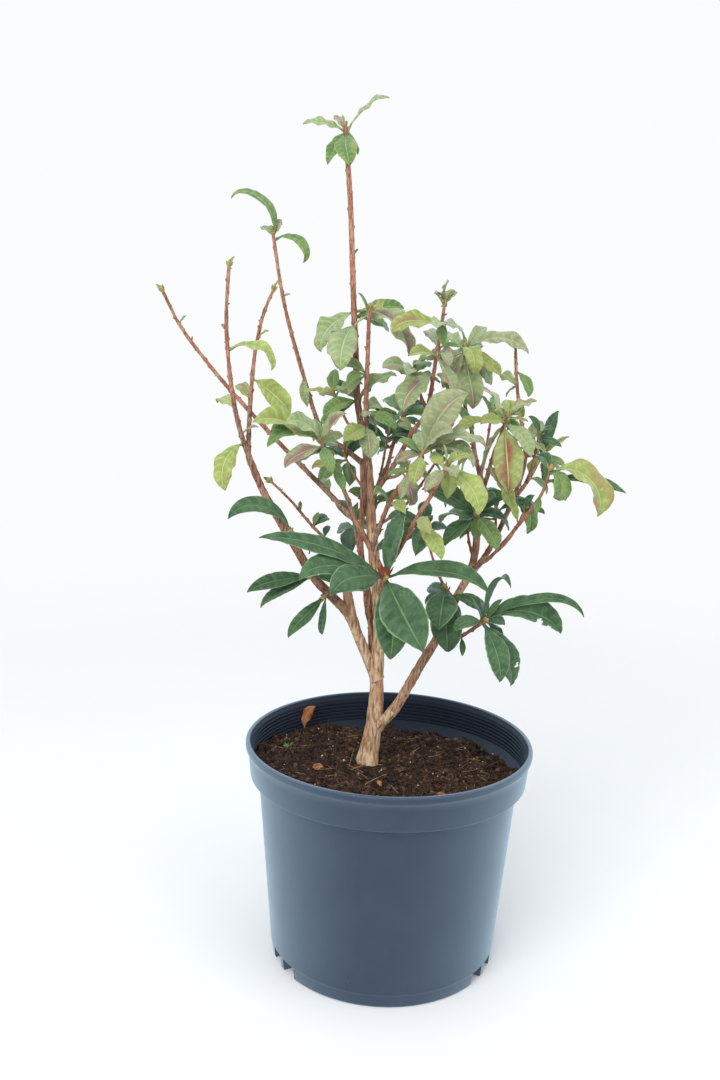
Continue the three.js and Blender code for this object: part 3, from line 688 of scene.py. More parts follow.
def addPart(bundle, points, quads=(), tris=(), quadSlots=0, triSlots=0, flush=0.0, vein=0.0):
    points = np.asarray(points, float).reshape(-1, 3)
    quads = np.asarray(quads, int).reshape(-1, 4)
    tris = np.asarray(tris, int).reshape(-1, 3)
    bundle["points"].append(points)
    bundle["quads"].append(quads + bundle["count"])
    bundle["tris"].append(tris + bundle["count"])
    bundle["quadSlots"].append(np.broadcast_to(quadSlots, len(quads)))
    bundle["triSlots"].append(np.broadcast_to(triSlots, len(tris)))
    bundle["flush"].append(np.broadcast_to(flush, len(points)))
    bundle["vein"].append(np.broadcast_to(vein, len(points)))
    bundle["count"] += len(points)


def buildPiece(name, bundle, materials, replaced, creaseAngle=50):
    points = np.concatenate(bundle["points"]) * mm
    quads, tris = np.concatenate(bundle["quads"]), np.concatenate(bundle["tris"])
    corners = np.concatenate([quads.ravel(), tris.ravel()]).astype(np.int32)
    starts = np.concatenate([np.arange(len(quads)) * 4, len(quads) * 4 + np.arange(len(tris)) * 3])
    mesh = bpy.data.meshes.new(name)
    mesh.vertices.add(len(points))
    mesh.vertices.foreach_set("co", points.astype(np.float32).ravel())
    mesh.loops.add(len(corners))
    mesh.loops.foreach_set("vertex_index", corners)
    mesh.polygons.add(len(starts))
    mesh.polygons.foreach_set("loop_start", starts.astype(np.int32))
    slots = np.concatenate(bundle["quadSlots"] + bundle["triSlots"]).astype(np.int32)
    mesh.polygons.foreach_set("material_index", slots)
    mesh.update(calc_edges=True)
    mesh.validate()
    for label in ("flush", "vein"):
        mask = mesh.attributes.new(label, "FLOAT", "POINT")
        mask.data.foreach_set("value", np.concatenate(bundle[label]).astype(np.float32))
    mesh.shade_smooth()
    mesh.set_sharp_from_angle(angle=math.radians(creaseAngle))
    for material in materials:
        mesh.materials.append(material)
    piece = bpy.data.objects.new(name, mesh)
    bpy.context.scene.collection.objects.link(piece)
    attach(piece, rest)
    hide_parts(*replaced)
    print("piece:", name, len(quads) * 2 + len(tris), "triangles")
    return piece


# Soft random relief: a handful of slanted waves, the same for the same seed.
def ripple(points, size, seed):
    rng = np.random.default_rng(seed)
    total = np.zeros(points.shape[:-1])
    for _ in range(7):
        way = unit(rng.normal(size=3)) * rng.uniform(0.6, 1.5) * 2 * np.pi / size
        total += np.sin(points @ way + rng.uniform(0, circle))
    return total / 3.2


# Rings of points round a run of centres, with a frame that doesn't twist.
def tubeRings(centres, radii, sides):
    ahead = unit(np.gradient(centres, axis=0))
    across = np.array([0.0, 1.0, 0.0])
    rings, outs = [], []
    angles = 2 * np.pi * np.arange(sides) / sides
    for centre, way, radius in zip(centres, ahead, radii):
        across = unit(across - way * across.dot(way))
        side = np.cross(way, across)
        out = across * np.cos(angles)[:, None] + side * np.sin(angles)[:, None]
        outs.append(out)
        rings.append(centre + out * np.reshape(radius, (-1, 1)))
    return np.array(rings), np.array(outs)


def ringFaces(rows, sides):
    k = np.arange(sides)
    base = np.arange(rows - 1)[:, None] * sides
    quads = np.stack([base + k, base + (k + 1) % sides, base + sides + (k + 1) % sides, base + sides + k], -1)
    first = np.stack([np.zeros(sides - 2, int), k[2:], k[1:-1]], -1)
    last = np.stack([np.zeros(sides - 2, int), k[1:-1], k[2:]], -1) + (rows - 1) * sides
    return quads.reshape(-1, 4), np.concatenate([first, last])


# Materials are node trees; the groups below are shared by many of them.
def newMaterial(name):
    material = bpy.data.materials.new(name)
    material.use_nodes = True
    return material, material.node_tree, material.node_tree.nodes["Principled BSDF"]


def newGroup(name, ins, outs):
    group = bpy.data.node_groups.new(name, "ShaderNodeTree")
    for label, value in ins.items():
        kind = "NodeSocketFloat" if isinstance(value, float) else "NodeSocketColor"
        group.interface.new_socket(label, in_out="INPUT", socket_type=kind).default_value = value
    for label in outs:
        kind = "NodeSocketColor" if label == "Colour" else "NodeSocketFloat"
        group.interface.new_socket(label, in_out="OUTPUT", socket_type=kind)
    return group, group.nodes.new("NodeGroupInput").outputs, group.nodes.new("NodeGroupOutput")


# Sets each input of a node to a value, or links it to another node's output.
def feed(tree, node, inputs):
    for key, source in inputs.items():
        if isinstance(source, bpy.types.NodeSocket):
            tree.links.new(source, node.inputs[key])
        else:
            node.inputs[key].default_value = source


def addNode(tree, kind, inputs=None, **settings):
    node = tree.nodes.new(kind)
    for key, value in settings.items():
        setattr(node, key, value)
    feed(tree, node, inputs or {})
    return node


def placeGroup(tree, group, inputs):
    return addNode(tree, "ShaderNodeGroup", inputs, node_tree=group).outputs


def objectPlace(tree):
    return addNode(tree, "ShaderNodeTexCoord").outputs["Object"]


def addNoise(tree, place, inputs):
    return addNode(tree, "ShaderNodeTexNoise", {"Vector": place, **inputs}).outputs["Fac"]


def calculate(tree, operation, first, second):
    return addNode(tree, "ShaderNodeMath", {0: first, 1: second}, operation=operation).outputs[0]


def mapRange(tree, value, span=(0, 1), onto=(0, 1)):
    inputs = {"Value": value, "From Min": span[0], "From Max": span[1], "To Min": onto[0], "To Max": onto[1]}
    return addNode(tree, "ShaderNodeMapRange", inputs).outputs["Result"]


def mixNumbers(tree, share, first, second):
    inputs = {"Factor": share, 2: first, 3: second}
    return addNode(tree, "ShaderNodeMix", inputs, data_type="FLOAT").outputs[0]


def mixColours(tree, share, first, second):
    inputs = {"Factor": share, 6: first, 7: second}
    return addNode(tree, "ShaderNodeMix", inputs, data_type="RGBA").outputs[2]


def addBump(tree, shader, height, strength, distance):
    bump = addNode(tree, "ShaderNodeBump", {"Height": height, "Strength": strength, "Distance": distance})
    feed(tree, shader, {"Normal": bump.outputs["Normal"]})


def colour(hexText):
    parts = [int(hexText[i:i + 2], 16) / 255 for i in (1, 3, 5)]
    return [p / 12.92 if p <= 0.04045 else ((p + 0.055) / 1.055) ** 2.4 for p in parts] + [1.0]


# Two colours clouded into each other, with a height that follows.
def makeMottleGroup():
    group, ins, outs = newGroup(
        "mottle",
        {"Light": (1, 1, 1, 1), "Dark": (0, 0, 0, 1), "Size": 200.0, "Detail": 4.0, "Spread": 0.3,
         "Grain Size": 900.0},
        ["Colour", "Height", "Grain"])
    place = objectPlace(group)
    noise = addNoise(group, place, {"Scale": ins["Size"], "Detail": ins["Detail"], "Roughness": 0.68})
    low = calculate(group, "SUBTRACT", 0.5, ins["Spread"])
    high = calculate(group, "ADD", 0.5, ins["Spread"])
    height = mapRange(group, noise, (low, high))
    feed(group, outs, {
        "Colour": mixColours(group, height, ins["Dark"], ins["Light"]), "Height": height,
        "Grain": addNoise(group, place, {"Scale": ins["Grain Size"], "Detail": 2.0}),
    })
    return group


# A second colour breaks through in flecks, more of it where the amount is high.
def makeBlotchGroup():
    group, ins, outs = newGroup(
        "blotches",
        {"Base": (1, 1, 1, 1), "Blotch": (0, 0, 0, 1), "Amount": 0.0, "Size": 300.0},
        ["Colour", "Mask"])
    noise = addNoise(group, objectPlace(group), {"Scale": ins["Size"], "Detail": 6.0, "Roughness": 0.7})
    mask = mapRange(group, calculate(group, "ADD", ins["Amount"], noise), (0.72, 1.2))
    feed(group, outs, {"Colour": mixColours(group, mask, ins["Base"], ins["Blotch"]), "Mask": mask})
    return group


# Long upright fibres with darker cracks between them.
def makeBarkGroup():
    group, ins, outs = newGroup(
        "barkFibres",
        {"Ridge": (1, 1, 1, 1), "Crack": (0, 0, 0, 1), "Patch": (0, 0, 0, 1), "Size": 500.0},
        ["Colour", "Height", "Rough"])
    place = objectPlace(group)
    stretch = addNode(group, "ShaderNodeMapping", {"Vector": place, "Scale": (1, 1, 0.16)})
    fibres = addNoise(group, stretch.outputs["Vector"], {
        "Scale": ins["Size"], "Detail": 6.0, "Roughness": 0.62, "Distortion": 0.4,
    })
    height = mapRange(group, fibres, (0.36, 0.56))
    patches = mapRange(group, addNoise(group, place, {"Scale": 70.0, "Detail": 3.0}), (0.42, 0.6))
    bare = mixColours(group, patches, ins["Ridge"], ins["Patch"])
    feed(group, outs, {
        "Colour": mixColours(group, height, ins["Crack"], bare), "Height": height,
        "Rough": mapRange(group, height, onto=(0.95, 0.72)),
    })
    return group


mottleGroup = makeMottleGroup()
blotchGroup = makeBlotchGroup()
barkGroup = makeBarkGroup()


def mottledMaterial(name, light, dark, size, rough, bump=0.0, bumpDistance=0.0002, detail=4.0, spread=0.25,
                    flushTo=None, specular=0.5, grainSize=None, sheen=0.0, veinTo=None, veinShare=0.4):
    material, tree, shader = newMaterial(name)
    look = {"Light": colour(light), "Dark": colour(dark), "Size": size, "Detail": detail, "Spread": spread}
    if grainSize:
        look["Grain Size"] = grainSize
    cloud = placeGroup(tree, mottleGroup, look)
    base = cloud["Colour"]
    if veinTo:
        net = addNode(tree, "ShaderNodeAttribute", attribute_name="vein").outputs["Fac"]
        base = mixColours(tree, calculate(tree, "MULTIPLY", net, veinShare), base, colour(veinTo))
    if flushTo:
        mask = addNode(tree, "ShaderNodeAttribute", attribute_name="flush").outputs["Fac"]
        blotches = {"Base": base, "Blotch": colour(flushTo), "Amount": mask, "Size": 330.0}
        base = placeGroup(tree, blotchGroup, blotches)["Colour"]
    feed(tree, shader, {
        "Base Color": base, "Roughness": rough, "Specular IOR Level": specular, "Sheen Weight": sheen,
    })
    if bump:
        addBump(tree, shader, cloud["Grain" if grainSize else "Height"], bump, bumpDistance)
    return material


def barkMaterial(name, ridge, patch, crack, size, bump):
    material, tree, shader = newMaterial(name)
    fibres = placeGroup(tree, barkGroup, {
        "Ridge": colour(ridge), "Patch": colour(patch), "Crack": colour(crack), "Size": size,
    })
    feed(tree, shader, {
        "Base Color": fibres["Colour"], "Roughness": fibres["Rough"], "Specular IOR Level": 0.3,
    })
    addBump(tree, shader, fibres["Height"], bump, 0.0004)
    return material


# The pot: radii and heights, and the places of the gaps in its foot in degrees.
pot = {
    "rimRadius": 110.0, "height": 171.5, "baseRadius": 87.5, "collarBottom": 145.0, "wall": 1.6,
    "footHeight": 10.0, "footGaps": [60, 180, 300], "footGapHalfWidth": 16.5, "sides": 240,
    "light": "#36455a", "dark": "#2e3c50", "rough": 0.3, "specular": 0.9, "density": 1.7,
    # the inside is the same plastic in darker, duller colours: painted shade within the pot
    "shadedInsideLight": "#283040", "shadedInsideDark": "#1c2230", "insideRough": 0.5, "insideSpecular": 0.25,
}


def bodyRadius(z):
    return mix(pot["baseRadius"], 99.5, z / (pot["collarBottom"] - 2))


def arcRun(centre, radius, start, end, steps):
    angles = np.radians(np.linspace(start, end, steps))
    return [[centre[0] + radius * math.cos(a), centre[1] + radius * math.sin(a)] for a in angles]


def potProfile():
    rim, top, collar, wall = pot["rimRadius"], pot["height"], pot["collarBottom"], pot["wall"]
    outside = [[0, 0], [40, 0], [pot["baseRadius"] - 1.4, 0]]
    outside += arcRun((pot["baseRadius"] - 1.4, 1.4), 1.4, -70, 0, 4)
    outside += [[bodyRadius(z), z] for z in (9.2, 9.6)] + [[bodyRadius(10.2) + 0.25, 10.2]]
    outside += [[bodyRadius(z) + 0.15, z] for z in (11, 30, 55, 80, 105, 125, 138)]
    outside += arcRun((bodyRadius(143) + 1.6, 143 - 1.2), 1.6, 180, 100, 4)
    outside += [[105.0, collar - 0.6]] + arcRun((104.9, collar + 0.6), 1.2, -80, 0, 4)
    outside += [[107.6, 160], [108.0, 164.2]] + arcRun((rim - 2.0, 167.6), 2.0, -60, 10, 5)
    outside += arcRun((rim - 2.1, top - 2.1), 2.1, 10, 90, 6)
    outside += [[rim - 3.0, top - 0.1], [rim - 3.6, top - 0.8]]
    inside = [[rim - 3.9, 169.4], [rim - 4.3, 168.8], [106.2 - 0.6, 168.4], [105.0, 167.8], [104.7, 166.4]]
    for z in range(164, 148, -3):
        inside += [[104.6, z + 1.1], [104.25, z + 0.7], [104.25, z - 0.7], [104.55, z - 1.1]]
    inside += [[104.1, 147.4], [103.2, 146.5], [bodyRadius(141.6) - wall, 141.6], [bodyRadius(80) - wall, 80],
               [bodyRadius(13.5) - wall, 13.5], [72, 12.4], [66, 2.6], [30, 2.6], [0, 2.6]]
    return outside + inside


def makePot():
    profile = np.array(potProfile())
    sides = pot["sides"]
    angles = 2 * np.pi * np.arange(sides) / sides
    body = profile[1:-1]
    rows = np.stack([body[:, :1] * np.cos(angles), body[:, :1] * np.sin(angles),
                     np.repeat(body[:, 1:], sides, 1)], -1)
    radius, z = body[:, :1], body[:, 1:]
    sag = 0.25 * np.cos(2 * angles + 0.7) * smooth(60, 160, z)  # moulded plastic is never quite round
    rows[..., 0] += sag * np.cos(angles) * (radius > 80)
    rows[..., 1] += sag * np.sin(angles) * (radius > 80)
    bundle = newBundle()
    quads = ringFaces(len(body), sides)[0]
    centres = np.array([[0, 0, profile[0, 1]], [0, 0, profile[-1, 1]]])
    points = np.concatenate([rows.reshape(-1, 3), centres])
    k = np.arange(sides)
    last = (len(body) - 1) * sides
    under = np.stack([np.full(sides, len(points) - 2), (k + 1) % sides, k], -1)
    floor = np.stack([np.full(sides, len(points) - 1), last + k, last + (k + 1) % sides], -1)
    # the faces inside the pot take the darker copy of the plastic, as painted shade
    isShadedInside = quads[:, 0] // sides >= np.argmax(body[:, 1]) + 2
    addPart(bundle, points, quads, np.concatenate([under, floor]), quadSlots=isShadedInside.astype(int))
    outer = plastic("pot_plastic", pot["light"], pot["dark"], pot["rough"], pot["specular"])
    # a darker, less glossy copy of the same plastic, painted shade for the inside of the pot
    inner = plastic("pot_inside_painted_shade", pot["shadedInsideLight"], pot["shadedInsideDark"], pot["insideRough"],
                    pot["insideSpecular"])
    piece = buildPiece("pot_shell", bundle, [outer, inner], ["pot"], 35)
    cutFeet(piece)
    return piece


def plastic(name, light, dark, dull, specular):
    material, tree, shader = newMaterial(name)
    cloud = placeGroup(tree, mottleGroup, {
        "Light": colour(light), "Dark": colour(dark), "Size": 22.0, "Detail": 5.0, "Spread": 0.3,
    })
    addBump(tree, shader, addNoise(tree, objectPlace(tree), {"Scale": 1400.0, "Detail": 3.0}), 0.1, 0.0002)
    feed(tree, shader, {
        "Base Color": cloud["Colour"], "Specular IOR Level": specular, "IOR": pot["density"],
        "Roughness": mapRange(tree, cloud["Height"], onto=(dull - 0.05, dull + 0.08)),
    })
    return material


# The foot is notched three times, with a small rib in the middle of each notch and a drain hole on its sides.
def cutFeet(piece):
    cutters = bpy.data.collections.new("footCutters")
    bpy.context.scene.collection.children.link(cutters)
    half = (pot["footGapHalfWidth"] - 2) / 2
    for degrees in pot["footGaps"]:
        turn = Matrix.Rotation(math.radians(degrees), 4, "Z")
        for way in (-1, 1):
            bpy.ops.mesh.primitive_cube_add(size=1)
            notch = bpy.context.object
            notchPlace = Vector((way * (half + 2), -(pot["baseRadius"] - 1.5), 0)) * mm
            notchSize = Vector((half * 2, 24, pot["footHeight"] * 2, 1 / mm)) * mm
            notch.matrix_world = turn @ Matrix.Translation(notchPlace) @ Matrix.Diagonal(notchSize)
            bpy.ops.mesh.primitive_cylinder_add(vertices=32, radius=4 * mm, depth=12 * mm)
            drain = bpy.context.object
            drainPlace = Vector((way * (half + 2), -(pot["baseRadius"] - 8.5), pot["footHeight"] + 2)) * mm
            drain.matrix_world = turn @ Matrix.Translation(drainPlace)
            for cutter in (notch, drain):
                for holder in list(cutter.users_collection):
                    holder.objects.unlink(cutter)
                cutters.objects.link(cutter)
    cut = piece.modifiers.new("notches", "BOOLEAN")
    cut.operand_type = "COLLECTION"
    cut.collection = cutters
    cut.operation = "DIFFERENCE"
    cut.solver = "EXACT"
    bpy.context.view_layer.objects.active = piece
    piece.select_set(True)
    bpy.context.view_layer.update()
    bpy.ops.object.modifier_apply(modifier=cut.name)
    for cutter in list(cutters.objects):
        bpy.data.objects.remove(cutter)
    bpy.data.collections.remove(cutters)


makePot()
print("pot done")

# The soil: a bed of rings with crumbs, chips, straws and flecks on it; two straws stand up.
soil = {
    "wallRadius": 103.9, "rings": 150, "sides": 300, "crumbs": 7600, "chips": 30, "straws": 240, "flecks": 70,
    "light": "#5c473b", "dark": "#1e1613", "trunkFoot": [-16, 4],
    "standing": [[[-31, -18, 149], [0.22, 0.1, 0.95], 19], [[-49, 56, 150], [0.02, 0.1, 1], 13]],
}


def fromTrunk(x, y):
    return np.hypot(x - soil["trunkFoot"][0], y - soil["trunkFoot"][1])


def soilHeight(x, y):
    away = np.clip((fromTrunk(x, y) - 14) / 40, 0, 1)
    lean = -0.05 * x - 0.065 * y
    mounds = 2.2 * np.sin(x * 0.06 + 1.1) * np.cos(y * 0.055 - 0.4) + 1.1 * np.sin(x * 0.13 - y * 0.11)
    return shrub["soilLevel"] + away * (lean + mounds - 0.6)


def innerWall(z):
    wall = np.interp(z, [141.6, 146.5, 147.4], [bodyRadius(141.6) - pot["wall"], 103.2, 104.1])
    return np.where(z < 141.6, bodyRadius(z) - pot["wall"], wall) - 0.35


def soilSurface(x, y):
    points = np.stack([x, y, 0 * x], -1)
    rough = 1.5 * ripple(points, 26, 5) + 1.1 * ripple(points, 11, 6) + 0.75 * ripple(points, 5, 7)
    return soilHeight(x, y) + rough * (0.35 + 0.65 * smooth(9, 26, fromTrunk(x, y)))


def soilAt(x, y):
    return float(soilSurface(np.array([float(x)]), np.array([float(y)]))[0])


def makeSoil():
    rng = np.random.default_rng(31)
    radii = np.linspace(0, soil["wallRadius"], soil["rings"] + 1)[1:]
    angles = 2 * np.pi * np.arange(soil["sides"]) / soil["sides"]
    x, y = radii[:, None] * np.cos(angles), radii[:, None] * np.sin(angles)
    z = soilSurface(x, y) + rng.normal(0, 0.28, x.shape)
    shrink = 1 - (1 - innerWall(z[-1]) / soil["wallRadius"]) * (radii[:, None] / soil["wallRadius"]) ** 8
    rows = np.stack([x * shrink, y * shrink, z], -1)
    skirt = rows[-1].copy()
    skirt[:, 2] = np.minimum(skirt[:, 2] - 3, 139)
    skirt[:, :2] *= (innerWall(skirt[:, 2]) / np.hypot(skirt[:, 0], skirt[:, 1]))[:, None]
    foot = skirt.copy()
    foot[:, :2] *= 0.64
    foot[:, 2] = 128
    rows = np.concatenate([rows, skirt[None], foot[None]])
    quads, tris = ringFaces(len(rows), soil["sides"])
    middle = np.array([[0, 0, soilAt(0, 0)]])
    k = np.arange(soil["sides"])
    fan = np.stack([np.full(soil["sides"], rows.shape[0] * soil["sides"]), k, (k + 1) % soil["sides"]], -1)
    closing = tris[soil["sides"] - 2:]
    bundle = newBundle()
    addPart(bundle, np.concatenate([rows.reshape(-1, 3), middle]), quads[:, ::-1],
            np.concatenate([fan, closing[:, ::-1]]))
    bed = mottledMaterial("soil_bed", soil["light"], soil["dark"], 340.0, 0.95, 0.9, 0.0012, 8.0, 0.2,
                          specular=0.2)
    return buildPiece("soil_bed", bundle, [bed], ["soil"], 180)


def spin(shape, turn):
    c, s = math.cos(turn), math.sin(turn)
    return shape @ np.array([[c, s, 0], [-s, c, 0], [0, 0, 1]])


def lump(rng, size, flat=1.0):
    golden = (1 + 5 ** 0.5) / 2
    shape = np.array([[-1, golden, 0], [1, golden, 0], [-1, -golden, 0], [1, -golden, 0], [0, -1, golden],
                      [0, 1, golden], [0, -1, -golden], [0, 1, -golden], [golden, 0, -1], [golden, 0, 1],
                      [-golden, 0, -1], [-golden, 0, 1]]) / 1.9
    shape = shape * rng.uniform(0.62, 1.3, (12, 1)) * rng.uniform(0.7, 1.35, 3) * size
    shape[:, 2] *= flat
    return spin(shape, rng.uniform(0, circle))


# The twenty faces of the solid that each lump starts from.
lumpFaces = [[0, 11, 5], [0, 5, 1], [0, 1, 7], [0, 7, 10], [0, 10, 11], [1, 5, 9], [5, 11, 4], [11, 10, 2],
             [10, 7, 6], [7, 1, 8], [3, 9, 4], [3, 4, 2], [3, 2, 6], [3, 6, 8], [3, 8, 9], [4, 9, 5],
             [2, 4, 11], [6, 2, 10], [8, 6, 7], [9, 8, 1]]


def scatterPlace(rng, reach):
    radius, angle = reach * math.sqrt(rng.uniform()), rng.uniform(0, circle)
    x, y = radius * math.cos(angle), radius * math.sin(angle)
    z = soilAt(x, y)
    keep = min(1, (float(innerWall(z)) - 2) / max(math.hypot(x, y), 1))
    return np.array([x * keep, y * keep, z])


def makeCrumbs():
    rng = np.random.default_rng(47)
    crumbs, flecks = newBundle(), newBundle()
    for _ in range(soil["crumbs"]):
        size = 0.45 + 2.1 * rng.uniform() ** 5
        place = scatterPlace(rng, soil["wallRadius"] - 1.5 - size)
        if fromTrunk(place[0], place[1]) < 10:
            continue
        addPart(crumbs, lump(rng, size, 0.75) + place + [0, 0, size * 0.2], tris=lumpFaces,
                triSlots=rng.choice([0, 1, 2], p=[0.7, 0.25, 0.05]))
    for _ in range(soil["flecks"]):
        size = rng.uniform(0.35, 0.9)
        addPart(flecks, lump(rng, size) + scatterPlace(rng, 98) + [0, 0, 0.6], tris=lumpFaces)
    dark = mottledMaterial("crumb_dark", "#42332c", "#16100e", 500.0, 0.95, specular=0.2)
    brown = mottledMaterial("crumb_brown", "#6a5145", "#3b2c26", 420.0, 0.93, specular=0.2)
    tan = mottledMaterial("crumb_tan", "#7d5e49", "#4b3629", 380.0, 0.9, specular=0.2)
    pale = mottledMaterial("soil_fleck", "#d9d2c2", "#a79a83", 300.0, 0.85)
    buildPiece("soil_crumbs", crumbs, [dark, brown, tan], ["soil"], 180)
    buildPiece("soil_flecks", flecks, [pale], ["soil"], 180)


def makeLitter():
    rng = np.random.default_rng(58)
    straws, chips = newBundle(), newBundle()
    for i in range(soil["straws"]):
        start = scatterPlace(rng, 92)
        turn, length = rng.uniform(0, circle), 5 + 18 * rng.uniform() ** 2.5
        way = np.array([math.cos(turn), math.sin(turn), rng.uniform(0.0, 0.28)])
        if i < len(soil["standing"]):
            start, way, length = (np.array(v, float) for v in soil["standing"][i])
        bow = rng.normal(0, 0.12, 3)
        t = np.linspace(0, 1, 9)[:, None]
        line = start + [0, 0, 0.8] + way * length * t + bow * length * t * (1 - t)
        radii = rng.uniform(0.12, 0.3) * (1 - 0.5 * t[:, 0])
        rings = tubeRings(line, radii, 6)[0]
        quads, tris = ringFaces(len(rings), 6)
        dark = int(i % 4 > 0)
        addPart(straws, rings, quads, tris, quadSlots=dark, triSlots=dark)
    for i in range(soil["chips"]):
        size = rng.uniform(1.4, 3.4)
        shape = lump(rng, size) * [1, 0.45, 0.28]
        shape = spin(shape, rng.uniform(0, circle))
        addPart(chips, shape + scatterPlace(rng, 94) + [0, 0, 1.1], tris=lumpFaces, triSlots=i % 2)
    straw = mottledMaterial("straw_pale", "#b79d74", "#86683f", 300.0, 0.8)
    root = mottledMaterial("straw_brown", "#7d5a3a", "#4d3320", 300.0, 0.85)
    chip = mottledMaterial("bark_chip", "#84603f", "#4c3020", 260.0, 0.85)
    chipDark = mottledMaterial("bark_chip_dark", "#4a2f1e", "#24160d", 260.0, 0.9)
    buildPiece("soil_straws", straws, [straw, root], ["soil"], 180)
    buildPiece("soil_chips", chips, [chip, chipDark], ["soil"], 30)


makeSoil()
makeCrumbs()
makeLitter()
print("soil done")

# The bark of trunk and boughs: its browns change at the given shares of each limb.
bark = {
    "spacing": 1.1, "trunkSides": 44, "boughSides": 30, "collar": 0.45, "collarFade": 5.0, "strips": 0.55,
    "knots": 0.9,
    "ridge": "#e2c3a2", "patch": "#c79c76", "crack": "#80614a",
    "boughRidge": "#d3ac8c", "boughPatch": "#b0866a", "boughCrack": "#745645",
    "stumps": [["bough_left", 0, [[-28, 2.5, 256], [-33.2, 1.5, 275], [-37.3, 3, 296]], [3.6, 3.2]],
               ["trunk", 2, [[-16, 9, 236], [-17.5, 11, 262], [-19.5, 12, 284], [-25, 13, 308],
                             [-27, 14, 326], [-26, 15, 352], [-27, 17, 384]], [2.0, 2.3]]],
    "shootRidge": "#b58a72", "shootPatch": "#8f6350", "shootCrack": "#5a3c30",
    "browns": {"trunk": [0.74, 0.95], "bough_left": [0.25, 0.33], "bough_left_inner": [0, 0],
               "bough_right": [0.1, 0.7], "bough_right_back": [0, 0.3], "bough_front": [0, 0.15]},
}


def limbRun(name, spacing):
    limb = grown[name]["limb"]
    dense = curvePoints(grown[name]["points"], np.linspace(0, 1, 400))
    steps = np.concatenate([[0], np.cumsum(np.linalg.norm(np.diff(dense, axis=0), axis=1))])
    length = steps[-1]
    along = np.linspace(0, length, max(int(length / spacing), 6))
    shares = np.interp(along, steps, np.linspace(0, 1, 400))
    radii = mix(limb["radii"][0], limb["radii"][1], shares)
    radii = radii + limb.get("flare", 0) * np.exp(-along / shrub["flareFade"])
    if "from" in limb and limb["from"][1] < 1:
        radii = radii * (1 + bark["collar"] * np.exp(-along / bark["collarFade"]))
    return curvePoints(grown[name]["points"], shares), radii, along, shares


def barkRelief(rings, outs, along, seed, depth):
    rows, sides = rings.shape[:2]
    angle = 2 * np.pi * np.arange(sides) / sides
    stretched = rings * [1, 1, 0.13]
    strips = ripple(stretched, 2.6, seed) + 0.6 * ripple(stretched, 1.5, seed + 1)
    peeled = smooth(-0.15, 0.15, ripple(rings * [1, 1, 0.3], 9, seed + 2)) - 0.5  # flakes with a stepped edge
    swell = 0.6 * ripple(rings, 34, seed + 3)
    rng = np.random.default_rng(seed)
    knots = np.zeros((rows, sides))
    for centre in np.arange(rng.uniform(6, 18), along[-1] - 4, 17):
        at, turn, size = centre + rng.uniform(-5, 5), rng.uniform(0, circle), rng.uniform(0.5, 1.0)
        near = np.exp(-((along - at) / (1.9 * size)) ** 2)[:, None]
        knots += size * near * np.maximum(np.cos(angle - turn), 0) ** 6
    relief = depth * (bark["strips"] * strips + 0.5 * peeled + 0.35 * swell) + bark["knots"] * depth * knots
    return rings + outs * relief[..., None]


def makeBark():
    trunkBundle, boughBundle = newBundle(), newBundle()
    for number, name in enumerate(limbs):
        isTrunk = name == "trunk"
        sides = bark["trunkSides"] if isTrunk else bark["boughSides"]
        centres, radii, along, shares = limbRun(name, bark["spacing"])
        rings, outs = tubeRings(centres, radii, sides)
        rings = barkRelief(rings, outs, along, 70 + 5 * number, 0.5 if isTrunk else 0.3)
        if isTrunk:
            rings[0, :, 2] = centres[0, 2]
            angle = np.arange(sides) * 2 * np.pi / sides
            lobes = 1 + 0.1 * np.cos(3 * angle + 0.6)[None] * np.exp(-along / 12)[:, None]  # root buttresses
            rings = centres[:, None] + (rings - centres[:, None]) * lobes[..., None]
        quads, tris = ringFaces(len(rings), sides)
        share = shares[quads[:, 0] // sides]
        brown, dark = bark["browns"][name]
        slots = (share > brown).astype(int) + (share > dark)
        addPart(trunkBundle if isTrunk else boughBundle, rings, quads, tris, quadSlots=slots, triSlots=0)
    for name, slot, points, radii in bark["stumps"]:
        addStump(trunkBundle if name == "trunk" else boughBundle, np.array(points, float), radii, slot)
    trunkBark = barkMaterial("trunk_bark", bark["ridge"], bark["patch"], bark["crack"], 620.0, 0.8)
    boughBark = barkMaterial("bough_bark", bark["boughRidge"], bark["boughPatch"], bark["boughCrack"],
                             700.0, 0.7)
    shootBark = barkMaterial("bough_young", bark["shootRidge"], bark["shootPatch"], bark["shootCrack"],
                             800.0, 0.5)
    barks = [trunkBark, boughBark, shootBark]
    buildPiece("trunk_bark", trunkBundle, barks, ["trunk"], 180)
    buildPiece("bough_bark", boughBundle, barks, [name for name in limbs if name != "trunk"], 180)


# A cut or dead stem that ends bluntly.
def addStump(bundle, points, radii, slot):
    centres = curvePoints(points, np.linspace(0, 1, 24))
    rings, outs = tubeRings(centres, mix(radii[0], radii[1], np.linspace(0, 1, 24)), 18)
    rings = rings + outs * (0.22 * ripple(rings * [1, 1, 0.15], 2.4, 91))[..., None]
    addPart(bundle, rings, *ringFaces(len(rings), 18), quadSlots=slot, triSlots=slot)


makeBark()
print("bark done")

# The shoots are the stems of the masses and sprigs, with leaf scars and short stubs.
shoots = {
    "spacing": 0.9, "sides": 14, "scarGap": 9.0, "woodShare": 0.3,
    "wood": ["#a88470", "#835f4c", "#4f382c"], "young": ["#b98a74", "#9a6750", "#6c4434"],
}
allMasses = list(masses)


